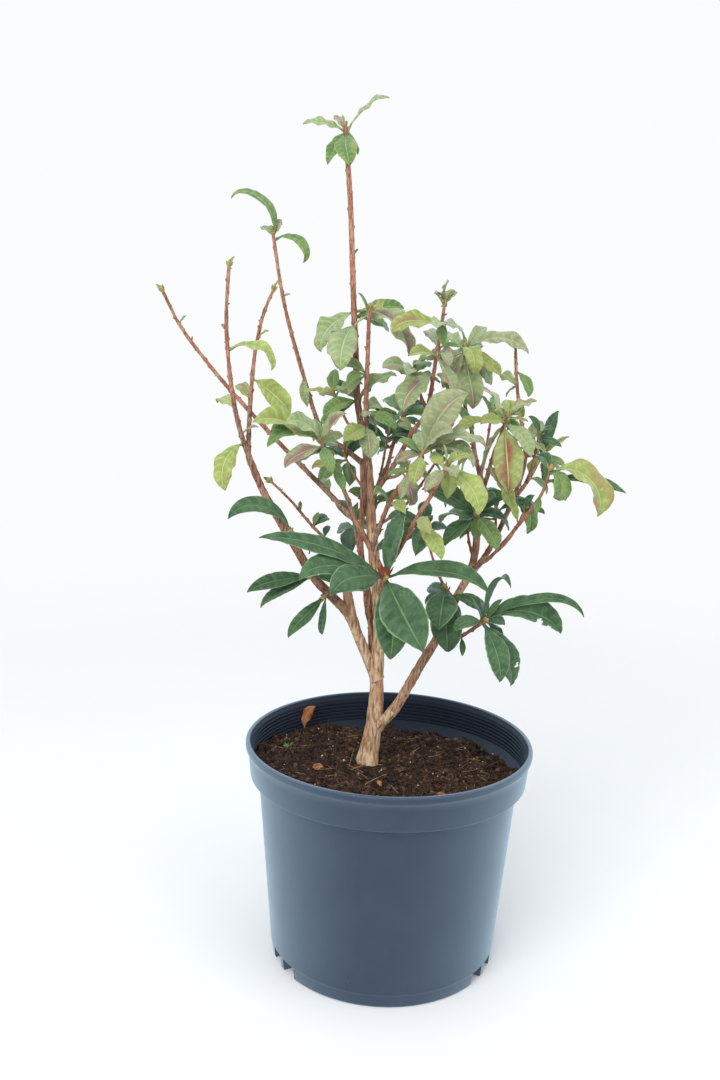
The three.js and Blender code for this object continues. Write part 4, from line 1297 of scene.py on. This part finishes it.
def makeShoots():
    rng = np.random.default_rng(83)
    bundle = newBundle()
    for name in [*allMasses, *sprigs]:
        centres, radii, along, _ = limbRun(name, shoots["spacing"])
        rings, outs = tubeRings(centres, radii, shoots["sides"])
        angle = 2 * np.pi * np.arange(shoots["sides"]) / shoots["sides"]
        relief = 0.08 * ripple(rings * [1, 1, 0.2], 2.2, 11) + 0.1 * ripple(rings, 14, 12)
        turn = rng.uniform(0, circle)
        at = rng.uniform(4, 9)
        while at < along[-1] - 2:
            near = np.exp(-((along - at) / 0.95) ** 2)[:, None]
            relief = relief + 0.75 * near * np.maximum(np.cos(angle - turn), 0) ** 4
            relief = relief + 0.14 * np.exp(-((along - at) / 0.6) ** 2)[:, None]
            turn += extras["spiral"]
            at += shoots["scarGap"] * rng.uniform(0.6, 1.4)
        rings = rings + outs * relief[..., None]
        quads, tris = ringFaces(len(rings), shoots["sides"])
        rowOf = quads[:, 0] // shoots["sides"]
        isYoung = (along[rowOf] / along[-1] > shoots["woodShare"]).astype(int)
        addPart(bundle, rings, quads, tris, quadSlots=isYoung, triSlots=1)
    addStubs(bundle, rng)
    wood = barkMaterial("shoot_wood", *shoots["wood"], 900.0, 0.4)
    young = barkMaterial("shoot_young", *shoots["young"], 1100.0, 0.25)
    buildPiece("shoots", bundle, [wood, young], allMasses, 60)


# Short dead stubs and tiny side buds that stand off the shoots.
def addStubs(bundle, rng):
    for name in allMasses:
        points, radii = grown[name]["points"], grown[name]["limb"]["radii"]
        for share in np.arange(0.18, 0.95, 0.17) + rng.uniform(-0.06, 0.06):
            root = curvePoints(points, np.array([share, share + 0.01]))
            ahead = unit(root[1] - root[0])
            out = unit(np.cross(ahead, rng.normal(size=3)))
            way = unit(out + ahead * rng.uniform(0.5, 1.2))
            long, thick = rng.uniform(2.2, 4.6), mix(radii[0], radii[1], share) * rng.uniform(0.34, 0.5)
            t = np.linspace(0, 1, 6)
            swell = np.array([1.2, 1, 0.95, 1, 0.8, 0.3])
            rings = tubeRings(root[0] + way * long * t[:, None], thick * swell, 8)[0]
            quads, tris = ringFaces(6, 8)
            addPart(bundle, rings, quads, tris, quadSlots=int(share > 0.4), triSlots=1)


makeShoots()
print("shoots done")

# The leaves: one blade for all of them, and a look for each tint.
blade = {"rows": 42, "shortRows": 26, "thick": 0.34, "petioleThick": 1.1, "veins": 8.5}
acrossShares = np.array([-1, -0.93, -0.76, -0.55, -0.32, -0.045, 0.045, 0.32, 0.55, 0.76, 0.93, 1])
tints = {
    "old": {"light": "#54744d", "dark": "#27452c", "rib": "#7b9d6e", "edge": "#8fa57d", "under": "#6f8d6b",
            "flush": "#6d8a5c", "flushShare": 0.35, "rough": 0.33, "wave": 0.08, "pucker": 1.5, "roll": 0.22,
            "sheen": 0.1, "veinShare": 0.25, "ragged": 0.012},
    "green": {"light": "#789254", "dark": "#456531", "rib": "#a3ba7a", "edge": "#86a060", "under": "#86a06b",
              "flush": "#8f9c58", "flushShare": 0.5, "rough": 0.38, "wave": 0.13, "pucker": 1.2, "roll": 0.22,
              "sheen": 0.15, "veinShare": 0.35, "ragged": 0.018},
    "sage": {"light": "#9eab7c", "dark": "#6b864e", "rib": "#bcc79a", "edge": "#a08a68", "under": "#a5b38e",
             "flush": "#94706a", "flushShare": 0.85, "rough": 0.42, "wave": 0.3, "pucker": 1.0, "roll": 0.18,
             "sheen": 0.35, "veinShare": 0.5, "ragged": 0.03},
    "young": {"light": "#a2af62", "dark": "#758a3d", "rib": "#c0cc86", "edge": "#a39358", "under": "#a9b778",
              "flush": "#988058", "flushShare": 0.7, "rough": 0.42, "wave": 0.28, "pucker": 1.0, "roll": 0.16,
              "sheen": 0.3, "veinShare": 0.5, "ragged": 0.03},
    "bronze": {"light": "#9da67d", "dark": "#758151", "rib": "#bdb992", "edge": "#8f7062", "under": "#a0a582",
               "flush": "#8d6a66", "flushShare": 0.9, "ribFlush": 0.6, "rough": 0.42, "wave": 0.24,
               "pucker": 1.0, "roll": 0.16, "sheen": 0.35, "veinShare": 0.5, "ragged": 0.035},
    "russet": {"light": "#99a669", "dark": "#7b8a3e", "rib": "#bfc08a", "edge": "#976650", "under": "#a3aa7a",
               "flush": "#8e5040", "flushShare": 0.8, "ribFlush": 1, "evenFlush": True, "rough": 0.43,
               "wave": 0.2, "pucker": 1.0, "roll": 0.16, "sheen": 0.3, "veinShare": 0.5, "ragged": 0.03},
    "dry": {"light": "#b98257", "dark": "#8a5533", "rib": "#c99a6d", "edge": "#7d4c2e", "under": "#d0a57c",
            "flush": "#6d3f28", "flushShare": 0.8, "rough": 0.7, "wave": 0.5, "pucker": 1.0, "roll": 0.5,
            "sheen": 0.0, "veinShare": 0.2, "ragged": 0.08},
}


# Half width at each share: a narrow stalk, then a blade that is widest just past its middle, with a point.
def outline(shares):
    u = np.clip((shares - 0.07) / 0.93, 0, 1)
    return u ** 1.1 * (1 - u) ** 0.95 / 0.2428  # the widest place comes to 1


def addLeaf(bundle, leaf, rng):
    look = tints[leaf["tint"]]
    rows = blade["rows"] if leaf["length"] > 26 else blade["shortRows"]
    s = np.linspace(0, 1, rows)
    droop = 190 * np.clip(s - 0.55, 0, 1) ** 2 * rng.uniform(-0.2, 1.5)  # the tip turns over
    twist = rng.uniform(-26, 26) * (s - 0.3)
    ahead, side, face = leafAxes(leaf, s, droop, twist)
    steps = np.diff(s)[:, None] * leaf["length"]
    run = np.cumsum((ahead[1:] + ahead[:-1]) / 2 * steps, axis=0)
    rib = np.concatenate([np.zeros((1, 3)), run]) + leaf["root"]
    rib = rib + side * (rng.uniform(-0.06, 0.06) * leaf["length"] * np.sin(np.pi * s)[:, None])
    half = leaf["width"] / 2 * outline(s)
    wander = rng.normal(0, 1, (rows, 2))
    wander[1:-1] = (wander[:-2] + 2 * wander[1:-1] + wander[2:]) / 3
    ragged = 1 + look["ragged"] * wander * smooth(0.15, 0.3, s)[:, None]
    stalk = 0.62 * (1 - smooth(0.06, 0.2, s))
    half = np.maximum(half, np.maximum(stalk, 0.22))[:, None]
    t = acrossShares[None] + 0 * half
    left, right = rng.uniform(0.88, 1.04), rng.uniform(0.88, 1.04)
    t = np.where(t < 0, t * left * ragged[:, :1], t * right * ragged[:, 1:])
    away = np.abs(t)
    along = s[:, None]
    # fold at the midrib, margins that turn down or wave, and the blade puckered between its side veins
    fold = rng.uniform(0.35, 0.95)
    lift = half * (fold * away - (look["roll"] + 0.4 * fold) * rng.uniform(0.6, 1.4) * away ** 3)
    phase, pace = rng.uniform(0, circle, 2), rng.uniform(1.5, 3.2)
    beat = np.sin(2 * np.pi * pace * along + np.where(t > 0, phase[0], phase[1]))
    lift = lift + look["wave"] * rng.uniform(0.5, 1.5) * half * beat * away ** 2 * smooth(0.12, 0.35, along)
    vein = blade["veins"] * (along - 0.75 * away * half / leaf["length"])
    fromVein = np.abs(np.cos(np.pi * vein))
    line = (1 - smooth(0.1, 0.62, fromVein)) * smooth(0.1, 0.2, away) * smooth(0.1, 0.2, along)
    pucker = (fromVein ** 0.7 - 0.55) * np.sqrt(away * np.maximum(1.05 - away, 0)) * 2
    lift = lift + look["pucker"] * 0.7 * (leaf["width"] / 20) * pucker * smooth(0.1, 0.25, along)
    inner = away < 0.1
    lift = np.where(inner, lift - 0.12, lift)
    top = rib[:, None] + side[:, None] * (t * half)[..., None] + face[:, None] * lift[..., None]
    thick = mix(blade["petioleThick"], blade["thick"], smooth(0.03, 0.2, along)) * np.where(inner, 1.9, 1.0)
    low = top - face[:, None] * (thick * (np.abs(acrossShares) < 0.99))[..., None]
    addSheets(bundle, top, low, leafFlush(look, s, t, rng), line, leaf.get("bites", ()))


# A leaf reddens in clouds towards its margins and tip, or along its midrib. Some leaves redden more than
# others, unless the tint says that its flush is even.
def leafFlush(look, s, t, rng):
    lean = rng.uniform(-0.6, 0.3) * (not look.get("evenFlush", False))
    waves = np.sin(9 * s[:, None] + rng.uniform(0, circle)) * np.sin(3 * t + rng.uniform(0, circle))
    alongRib = rng.uniform() < look.get("ribFlush", 0.35)
    place = 1.3 * np.maximum(1 - 1.5 * np.abs(t), 0) if alongRib else np.abs(t) ** 2
    cloud = 0.7 * place + 0.5 * s[:, None] + lean + 0.4 * waves - 0.3
    return look["flushShare"] * np.clip(cloud, 0, 1)


# The upper and lower sheets share their margins; cells that an insect has eaten are left out and walled in.
def addSheets(bundle, top, low, flush, line, bites):
    rows, columns = flush.shape
    grid = np.arange(rows * columns).reshape(rows, columns)
    under = grid + rows * columns
    under[:, 0], under[:, -1] = grid[:, 0], grid[:, -1]
    kept = np.ones((rows - 1, columns - 1), bool)
    for row, column, tall, wide in bites:
        kept[row:row + tall, column:column + wide] = False
    upper = np.stack([grid[:-1, :-1], grid[:-1, 1:], grid[1:, 1:], grid[1:, :-1]], -1)
    lower = np.stack([under[:-1, :-1], under[1:, :-1], under[1:, 1:], under[:-1, 1:]], -1)
    column = np.broadcast_to(np.arange(columns - 1), kept.shape)
    slots = np.where(column == (columns - 1) // 2, 1, np.where((column == 0) | (column == columns - 2), 2, 0))
    isSide = (column == 0) | (column == columns - 2)
    quads = [upper[kept], lower[kept & ~isSide]]
    quadSlots = [slots[kept], np.full((kept & ~isSide).sum(), 3)]
    tris, triSlots = [], []
    for end, flip in ((0, False), (rows - 1, True)):  # close the stalk's end and the tip
        for c in range(columns - 1):
            a, b, d, e = grid[end, c], grid[end, c + 1], under[end, c + 1], under[end, c]
            ring = [v for i, v in enumerate((a, e, d, b)) if v not in (a, e, d, b)[:i]]
            ring = ring[::-1] if flip else ring
            for i in range(1, len(ring) - 1):
                tris.append([ring[0], ring[i], ring[i + 1]])
                triSlots.append(3)
    for r in range(rows - 1):
        for c in (0, columns - 2):
            if not kept[r, c]:
                continue
            a, b, d, e = under[r, c], under[r + 1, c], under[r + 1, c + 1], under[r, c + 1]
            tris += [[a, b, d], [a, d, e]]
            triSlots += [3, 3]
    walls, slivers = biteWalls(kept, grid, under)
    tris += slivers
    triSlots += [2] * len(slivers)
    if len(walls):
        quads.append(np.array(walls))
        quadSlots.append(np.full(len(walls), 2))
    points = np.concatenate([top.reshape(-1, 3), low.reshape(-1, 3)])
    addPart(bundle, points, np.concatenate(quads), np.array(tris), np.concatenate(quadSlots),
            np.array(triSlots), np.concatenate([flush.ravel(), flush.ravel() * 0.6]),
            np.concatenate([line.ravel(), line.ravel()]))


def biteWalls(kept, grid, under):
    walls, slivers = [], []
    for r, c in zip(*np.nonzero(~kept)):
        for dr, dc, first, second in ((-1, 0, (0, 0), (0, 1)), (1, 0, (1, 1), (1, 0)),
                                      (0, -1, (1, 0), (0, 0)), (0, 1, (0, 1), (1, 1))):
            nr, nc = r + dr, c + dc
            if 0 <= nr < kept.shape[0] and 0 <= nc < kept.shape[1] and kept[nr, nc]:
                a, b = (r + first[0], c + first[1]), (r + second[0], c + second[1])
                if grid[a] != under[a] and grid[b] != under[b]:
                    walls.append([grid[a], grid[b], under[b], under[a]])
                elif grid[a] != under[a]:
                    slivers.append([grid[a], grid[b], under[a]])
                elif grid[b] != under[b]:
                    slivers.append([grid[a], grid[b], under[b]])
    return walls, slivers


def tintMaterials(name):
    look = tints[name]
    face = mottledMaterial(f"leaf_{name}", look["light"], look["dark"], 75.0, look["rough"], 0.5, 0.0005, 9.0,
                           0.22, look["flush"], grainSize=420.0, sheen=look["sheen"], veinTo=look["rib"],
                           veinShare=look["veinShare"])
    rib = mottledMaterial(f"leaf_{name}_rib", look["rib"], look["light"], 160.0, 0.5, spread=0.4)
    edge = mottledMaterial(f"leaf_{name}_edge", look["edge"], look["light"], 140.0, 0.5, spread=0.4)
    under = mottledMaterial(f"leaf_{name}_under", look["under"], look["dark"], 90.0, 0.6, 0.4, 0.0003, 3.0,
                            0.5, grainSize=420.0)
    return [face, rib, edge, under]


# Dead leaves that lie or stand on the soil.
fallen = [
    {"at": [-69, 75], "heading": [0.35, 0.1, 0.9], "length": 23, "width": 9},
    {"at": [34, -52], "heading": [0.8, -0.5, 0.15], "length": 9, "width": 5},
    {"at": [-6, -46], "heading": [-0.3, 0.7, 0.35], "length": 8, "width": 4},
    {"at": [-58, -34], "heading": [0.9, 0.3, 0.2], "length": 10, "width": 5},
]


# Crumpled young leaves round the bud of the tall shoot.
crumpled = [
    {"at": [27, -10, 499], "heading": [0.1, -0.2, 1.0], "length": 20, "width": 10, "bend": 115},
    {"at": [27, -10, 498], "heading": [-0.6, -0.5, 0.8], "length": 15, "width": 8, "bend": 90},
    {"at": [27, -10, 497], "heading": [0.7, 0.1, 0.8], "length": 16, "width": 8, "bend": 105},
]


def looseLeaf(spot, root, tint):
    leaf = {"root": np.array(root, float), "length": spot["length"], "width": spot["width"], "kind": "plain",
            "mass": None, "clock": 0, "bend": spot.get("bend", 60), "jitter": 25, "tint": tint}
    setHeading(leaf, unit(np.array(spot["heading"], float)))
    return leaf


def layFallen():
    laid = []
    for spot in fallen:
        x, y = spot["at"]
        laid.append(looseLeaf(spot, [x, y, soilAt(x, y) - 0.5], "dry"))
    return laid


# Where insects have eaten the leaves of a mass: first row and column of cells, and how many of each are gone.
bitten = [
    {"which": {"mass": "foliage_right_low", "kind": "plain", "clock": 150},
     "bites": [(29, 2, 2, 1), (30, 3, 1, 1)]},
    {"which": {"mass": "foliage_right_low", "kind": "curl"},
     "bites": [(27, 8, 3, 3), (28, 7, 1, 1), (26, 10, 2, 1), (33, 9, 2, 2)]},
]


def makeLeaves():
    rng = np.random.default_rng(97)
    bundles = {name: newBundle() for name in tints}
    for leaf in leaves + layFallen() + [looseLeaf(spot, spot["at"], "bronze") for spot in crumpled]:
        for mark in bitten:
            if all(leaf[key] == value for key, value in mark["which"].items()):
                leaf["bites"] = mark["bites"]
        addLeaf(bundles[leaf["tint"]], leaf, rng)
    for name, bundle in bundles.items():
        replaced, slot = (["soil"], "soil") if name == "dry" else (allMasses, "foliage")
        buildPiece(f"leaves_{name}", bundle, tintMaterials(name), replaced, 62)


makeLeaves()
print("leaves done")

# A plump bud stands at each shoot's tip, wrapped in pointed scales.
buds = {
    "length": 7.0, "radius": 1.9, "scales": 8, "light": "#b3ad6a", "dark": "#8c7a4a", "tip": "#a07550",
    "red": "#a45a3c", "redDark": "#6f3626",
    "crowns": [["foliage_centre_low", 16, 12], ["foliage_right_low", 5, 7]],
    "sprouts": [[[-80, 21], 9, 7], [[-12, 22], 4, 5]],
}


def spindle(root, way, length, radius, rows=8, sides=10):
    t = np.linspace(0, 1, rows)
    swell = radius * np.sin(np.pi * np.clip(t * 0.9 + 0.08, 0, 1)) ** 0.8
    rings = tubeRings(root + way * length * t[:, None], np.maximum(swell, 0.12), sides)[0]
    return rings, *ringFaces(rows, sides)


def makeBuds():
    rng = np.random.default_rng(113)
    bundle = newBundle()
    for name in [*allMasses, *sprigs]:
        tip = curvePoints(grown[name]["points"], np.array([0.97, 1.0]))
        way = unit(tip[1] - tip[0])
        size = rng.uniform(0.75, 1.0)
        addPart(bundle, *spindle(tip[1] - way * 1.5, way, buds["length"] * size, buds["radius"] * size))
        turn = rng.uniform(0, circle)
        for i in range(buds["scales"]):
            turn += extras["spiral"]
            flat = unit(np.cross(way, [math.cos(turn), math.sin(turn), 0.3]))
            lean = unit(way + flat * rng.uniform(0.25, 0.75))
            root = tip[1] + flat * 0.6 - way * 0.5
            rings, quads, tris = spindle(root, lean, rng.uniform(3.6, 6.4) * size, 0.75, 7, 6)
            addPart(bundle, rings, quads, tris, quadSlots=i % 2, triSlots=i % 2)
    for name, count, reach in buds["crowns"]:  # long red scales that stand up in the middle of a whorl
        tip = curvePoints(grown[name]["points"], np.array([1.0]))[0]
        for i in range(count):
            way = unit(np.array([rng.uniform(-0.75, 0.75), rng.uniform(-0.5, 0.3), 1.0]))
            root = tip + [rng.uniform(-2, 2), rng.uniform(-1, 2), -1.5]
            rings, quads, tris = spindle(root, way, reach * rng.uniform(0.5, 1.1), 0.85, 8, 7)
            addPart(bundle, rings, quads, tris, quadSlots=2, triSlots=2)
    green = mottledMaterial("bud_green", buds["light"], buds["dark"], 300.0, 0.5)
    brown = mottledMaterial("bud_brown", buds["tip"], buds["dark"], 300.0, 0.6)
    red = mottledMaterial("bud_red", buds["red"], buds["redDark"], 300.0, 0.55)
    buildPiece("buds", bundle, [green, brown, red], allMasses, 60)


# Tiny green seedlings on the soil.
def makeSprout():
    rng = np.random.default_rng(127)
    bundle = newBundle()
    for at, count, tall in buds["sprouts"]:
        root = np.array([*at, soilAt(*at)])
        for _ in range(count):
            way = unit(np.array([rng.uniform(-1, 1), rng.uniform(-0.8, 0.8), 0.9]))
            addPart(bundle, *spindle(root, way, tall * rng.uniform(0.5, 1), 0.5, 7, 6))
    moss = mottledMaterial("sprout_green", "#7fae5e", "#4c7a3a", 300.0, 0.6)
    buildPiece("soil_sprout", bundle, [moss], ["soil"], 60)


makeBuds()
makeSprout()
print("buds done")

# The floor and the light of the studio.
stage = {
    "floor": "#f7f9fb", "floorDark": "#f3f6f8", "world": "#fbfcfd", "seen": 1.0, "level": 0.32,
    "overhead": 1.02,
    "mirrorSpan": (-0.75, 0.7), "mirrorFront": 0.25, "mirrorSide": 1.6, "mirrorTint": "#d7f1ff",
    "fadeFrom": 0.3, "fadeTo": 1.5,
    "lamps": {"key": [(-0.6, -1.3, 1.3), 1.2, 22.0], "fill": [(1.3, -0.9, 0.9), 1.4, 8.0]},
}


# The floor turns into the backdrop with distance, so no line shows behind the pot.
def floorMaterial():
    material, tree, shader = newMaterial("floor_card")
    cloud = placeGroup(tree, mottleGroup, {
        "Light": colour(stage["floor"]), "Dark": colour(stage["floorDark"]), "Size": 3.0,
    })
    feed(tree, shader, {"Base Color": cloud["Colour"], "Roughness": 0.7})
    away = addNode(tree, "ShaderNodeVectorMath", {0: objectPlace(tree)}, operation="LENGTH")
    fade = mapRange(tree, away.outputs["Value"], (stage["fadeFrom"], stage["fadeTo"]))
    fade.node.interpolation_type = "SMOOTHSTEP"
    glow = addNode(tree, "ShaderNodeEmission", {"Color": colour(stage["world"]), "Strength": stage["seen"]})
    both = addNode(tree, "ShaderNodeMixShader", {0: fade, 1: shader.outputs[0], 2: glow.outputs[0]})
    feed(tree, tree.nodes["Material Output"], {"Surface": both.outputs[0]})
    return material


def makeStage():
    bpy.ops.mesh.primitive_plane_add(size=24, location=(0, 0, -0.0003))
    floor = bpy.context.object
    floor.name = "floor"
    floor.visible_glossy = False
    floor.data.materials.append(floorMaterial())
    world = bpy.data.worlds.new("studio")
    bpy.context.scene.world = world
    world.use_nodes = True
    tree = world.node_tree
    place = addNode(tree, "ShaderNodeTexCoord").outputs["Generated"]
    parts = addNode(tree, "ShaderNodeSeparateXYZ", {"Vector": place}).outputs
    path = addNode(tree, "ShaderNodeLightPath").outputs
    # brighter overhead than at the level of the floor
    lit = mapRange(tree, parts["Z"], onto=(stage["level"], stage["overhead"]))
    # shiny faces mirror a dim room in front and a brighter one behind
    mirrored = mapRange(tree, parts["Y"], stage["mirrorSpan"], (stage["mirrorFront"], stage["mirrorSide"]))
    strength = mixNumbers(tree, path["Is Diffuse Ray"], stage["seen"], lit)
    feed(tree, tree.nodes["Background"], {
        "Color": mixColours(tree, path["Is Glossy Ray"], colour(stage["world"]), colour(stage["mirrorTint"])),
        "Strength": mixNumbers(tree, path["Is Glossy Ray"], strength, mirrored),
    })
    for name, (place, size, power) in stage["lamps"].items():
        lamp = bpy.data.lights.new(name, "AREA")
        lamp.energy, lamp.size = power, size
        holder = bpy.data.objects.new(name, lamp)
        holder.location = place
        holder.visible_glossy = False
        toShrub = Vector((0, 0, 0.3)) - holder.location
        holder.rotation_euler = toShrub.to_track_quat("-Z", "Y").to_euler()
        bpy.context.scene.collection.objects.link(holder)


# The camera stands in front, looks a little down and is rolled a little.
cameraSpec = {"place": (-27.3, -764.8, 470.2), "down": 10.656, "roll": 1.846, "lens": 34.77}


def makeCamera():
    camera = bpy.data.objects.new("camera", bpy.data.cameras.new("camera"))
    down, roll = math.radians(cameraSpec["down"]), math.radians(cameraSpec["roll"])
    forward = Vector((0, math.cos(down), -math.sin(down)))
    right, up = Vector((1, 0, 0)), Vector((0, math.sin(down), math.cos(down)))
    x = right * math.cos(roll) + up * math.sin(roll)
    y = up * math.cos(roll) - right * math.sin(roll)
    turn = Matrix((x, y, -forward)).transposed().to_4x4()
    camera.matrix_world = Matrix.Translation(Vector(cameraSpec["place"]) * mm) @ turn
    camera.data.lens = cameraSpec["lens"]
    camera.data.sensor_width = 36
    camera.data.clip_start = 0.01
    bpy.context.scene.collection.objects.link(camera)
    bpy.context.scene.camera = camera


makeStage()
makeCamera()
bpy.context.scene.view_settings.view_transform = "Standard"
bpy.context.view_layer.update()
print("stage done")
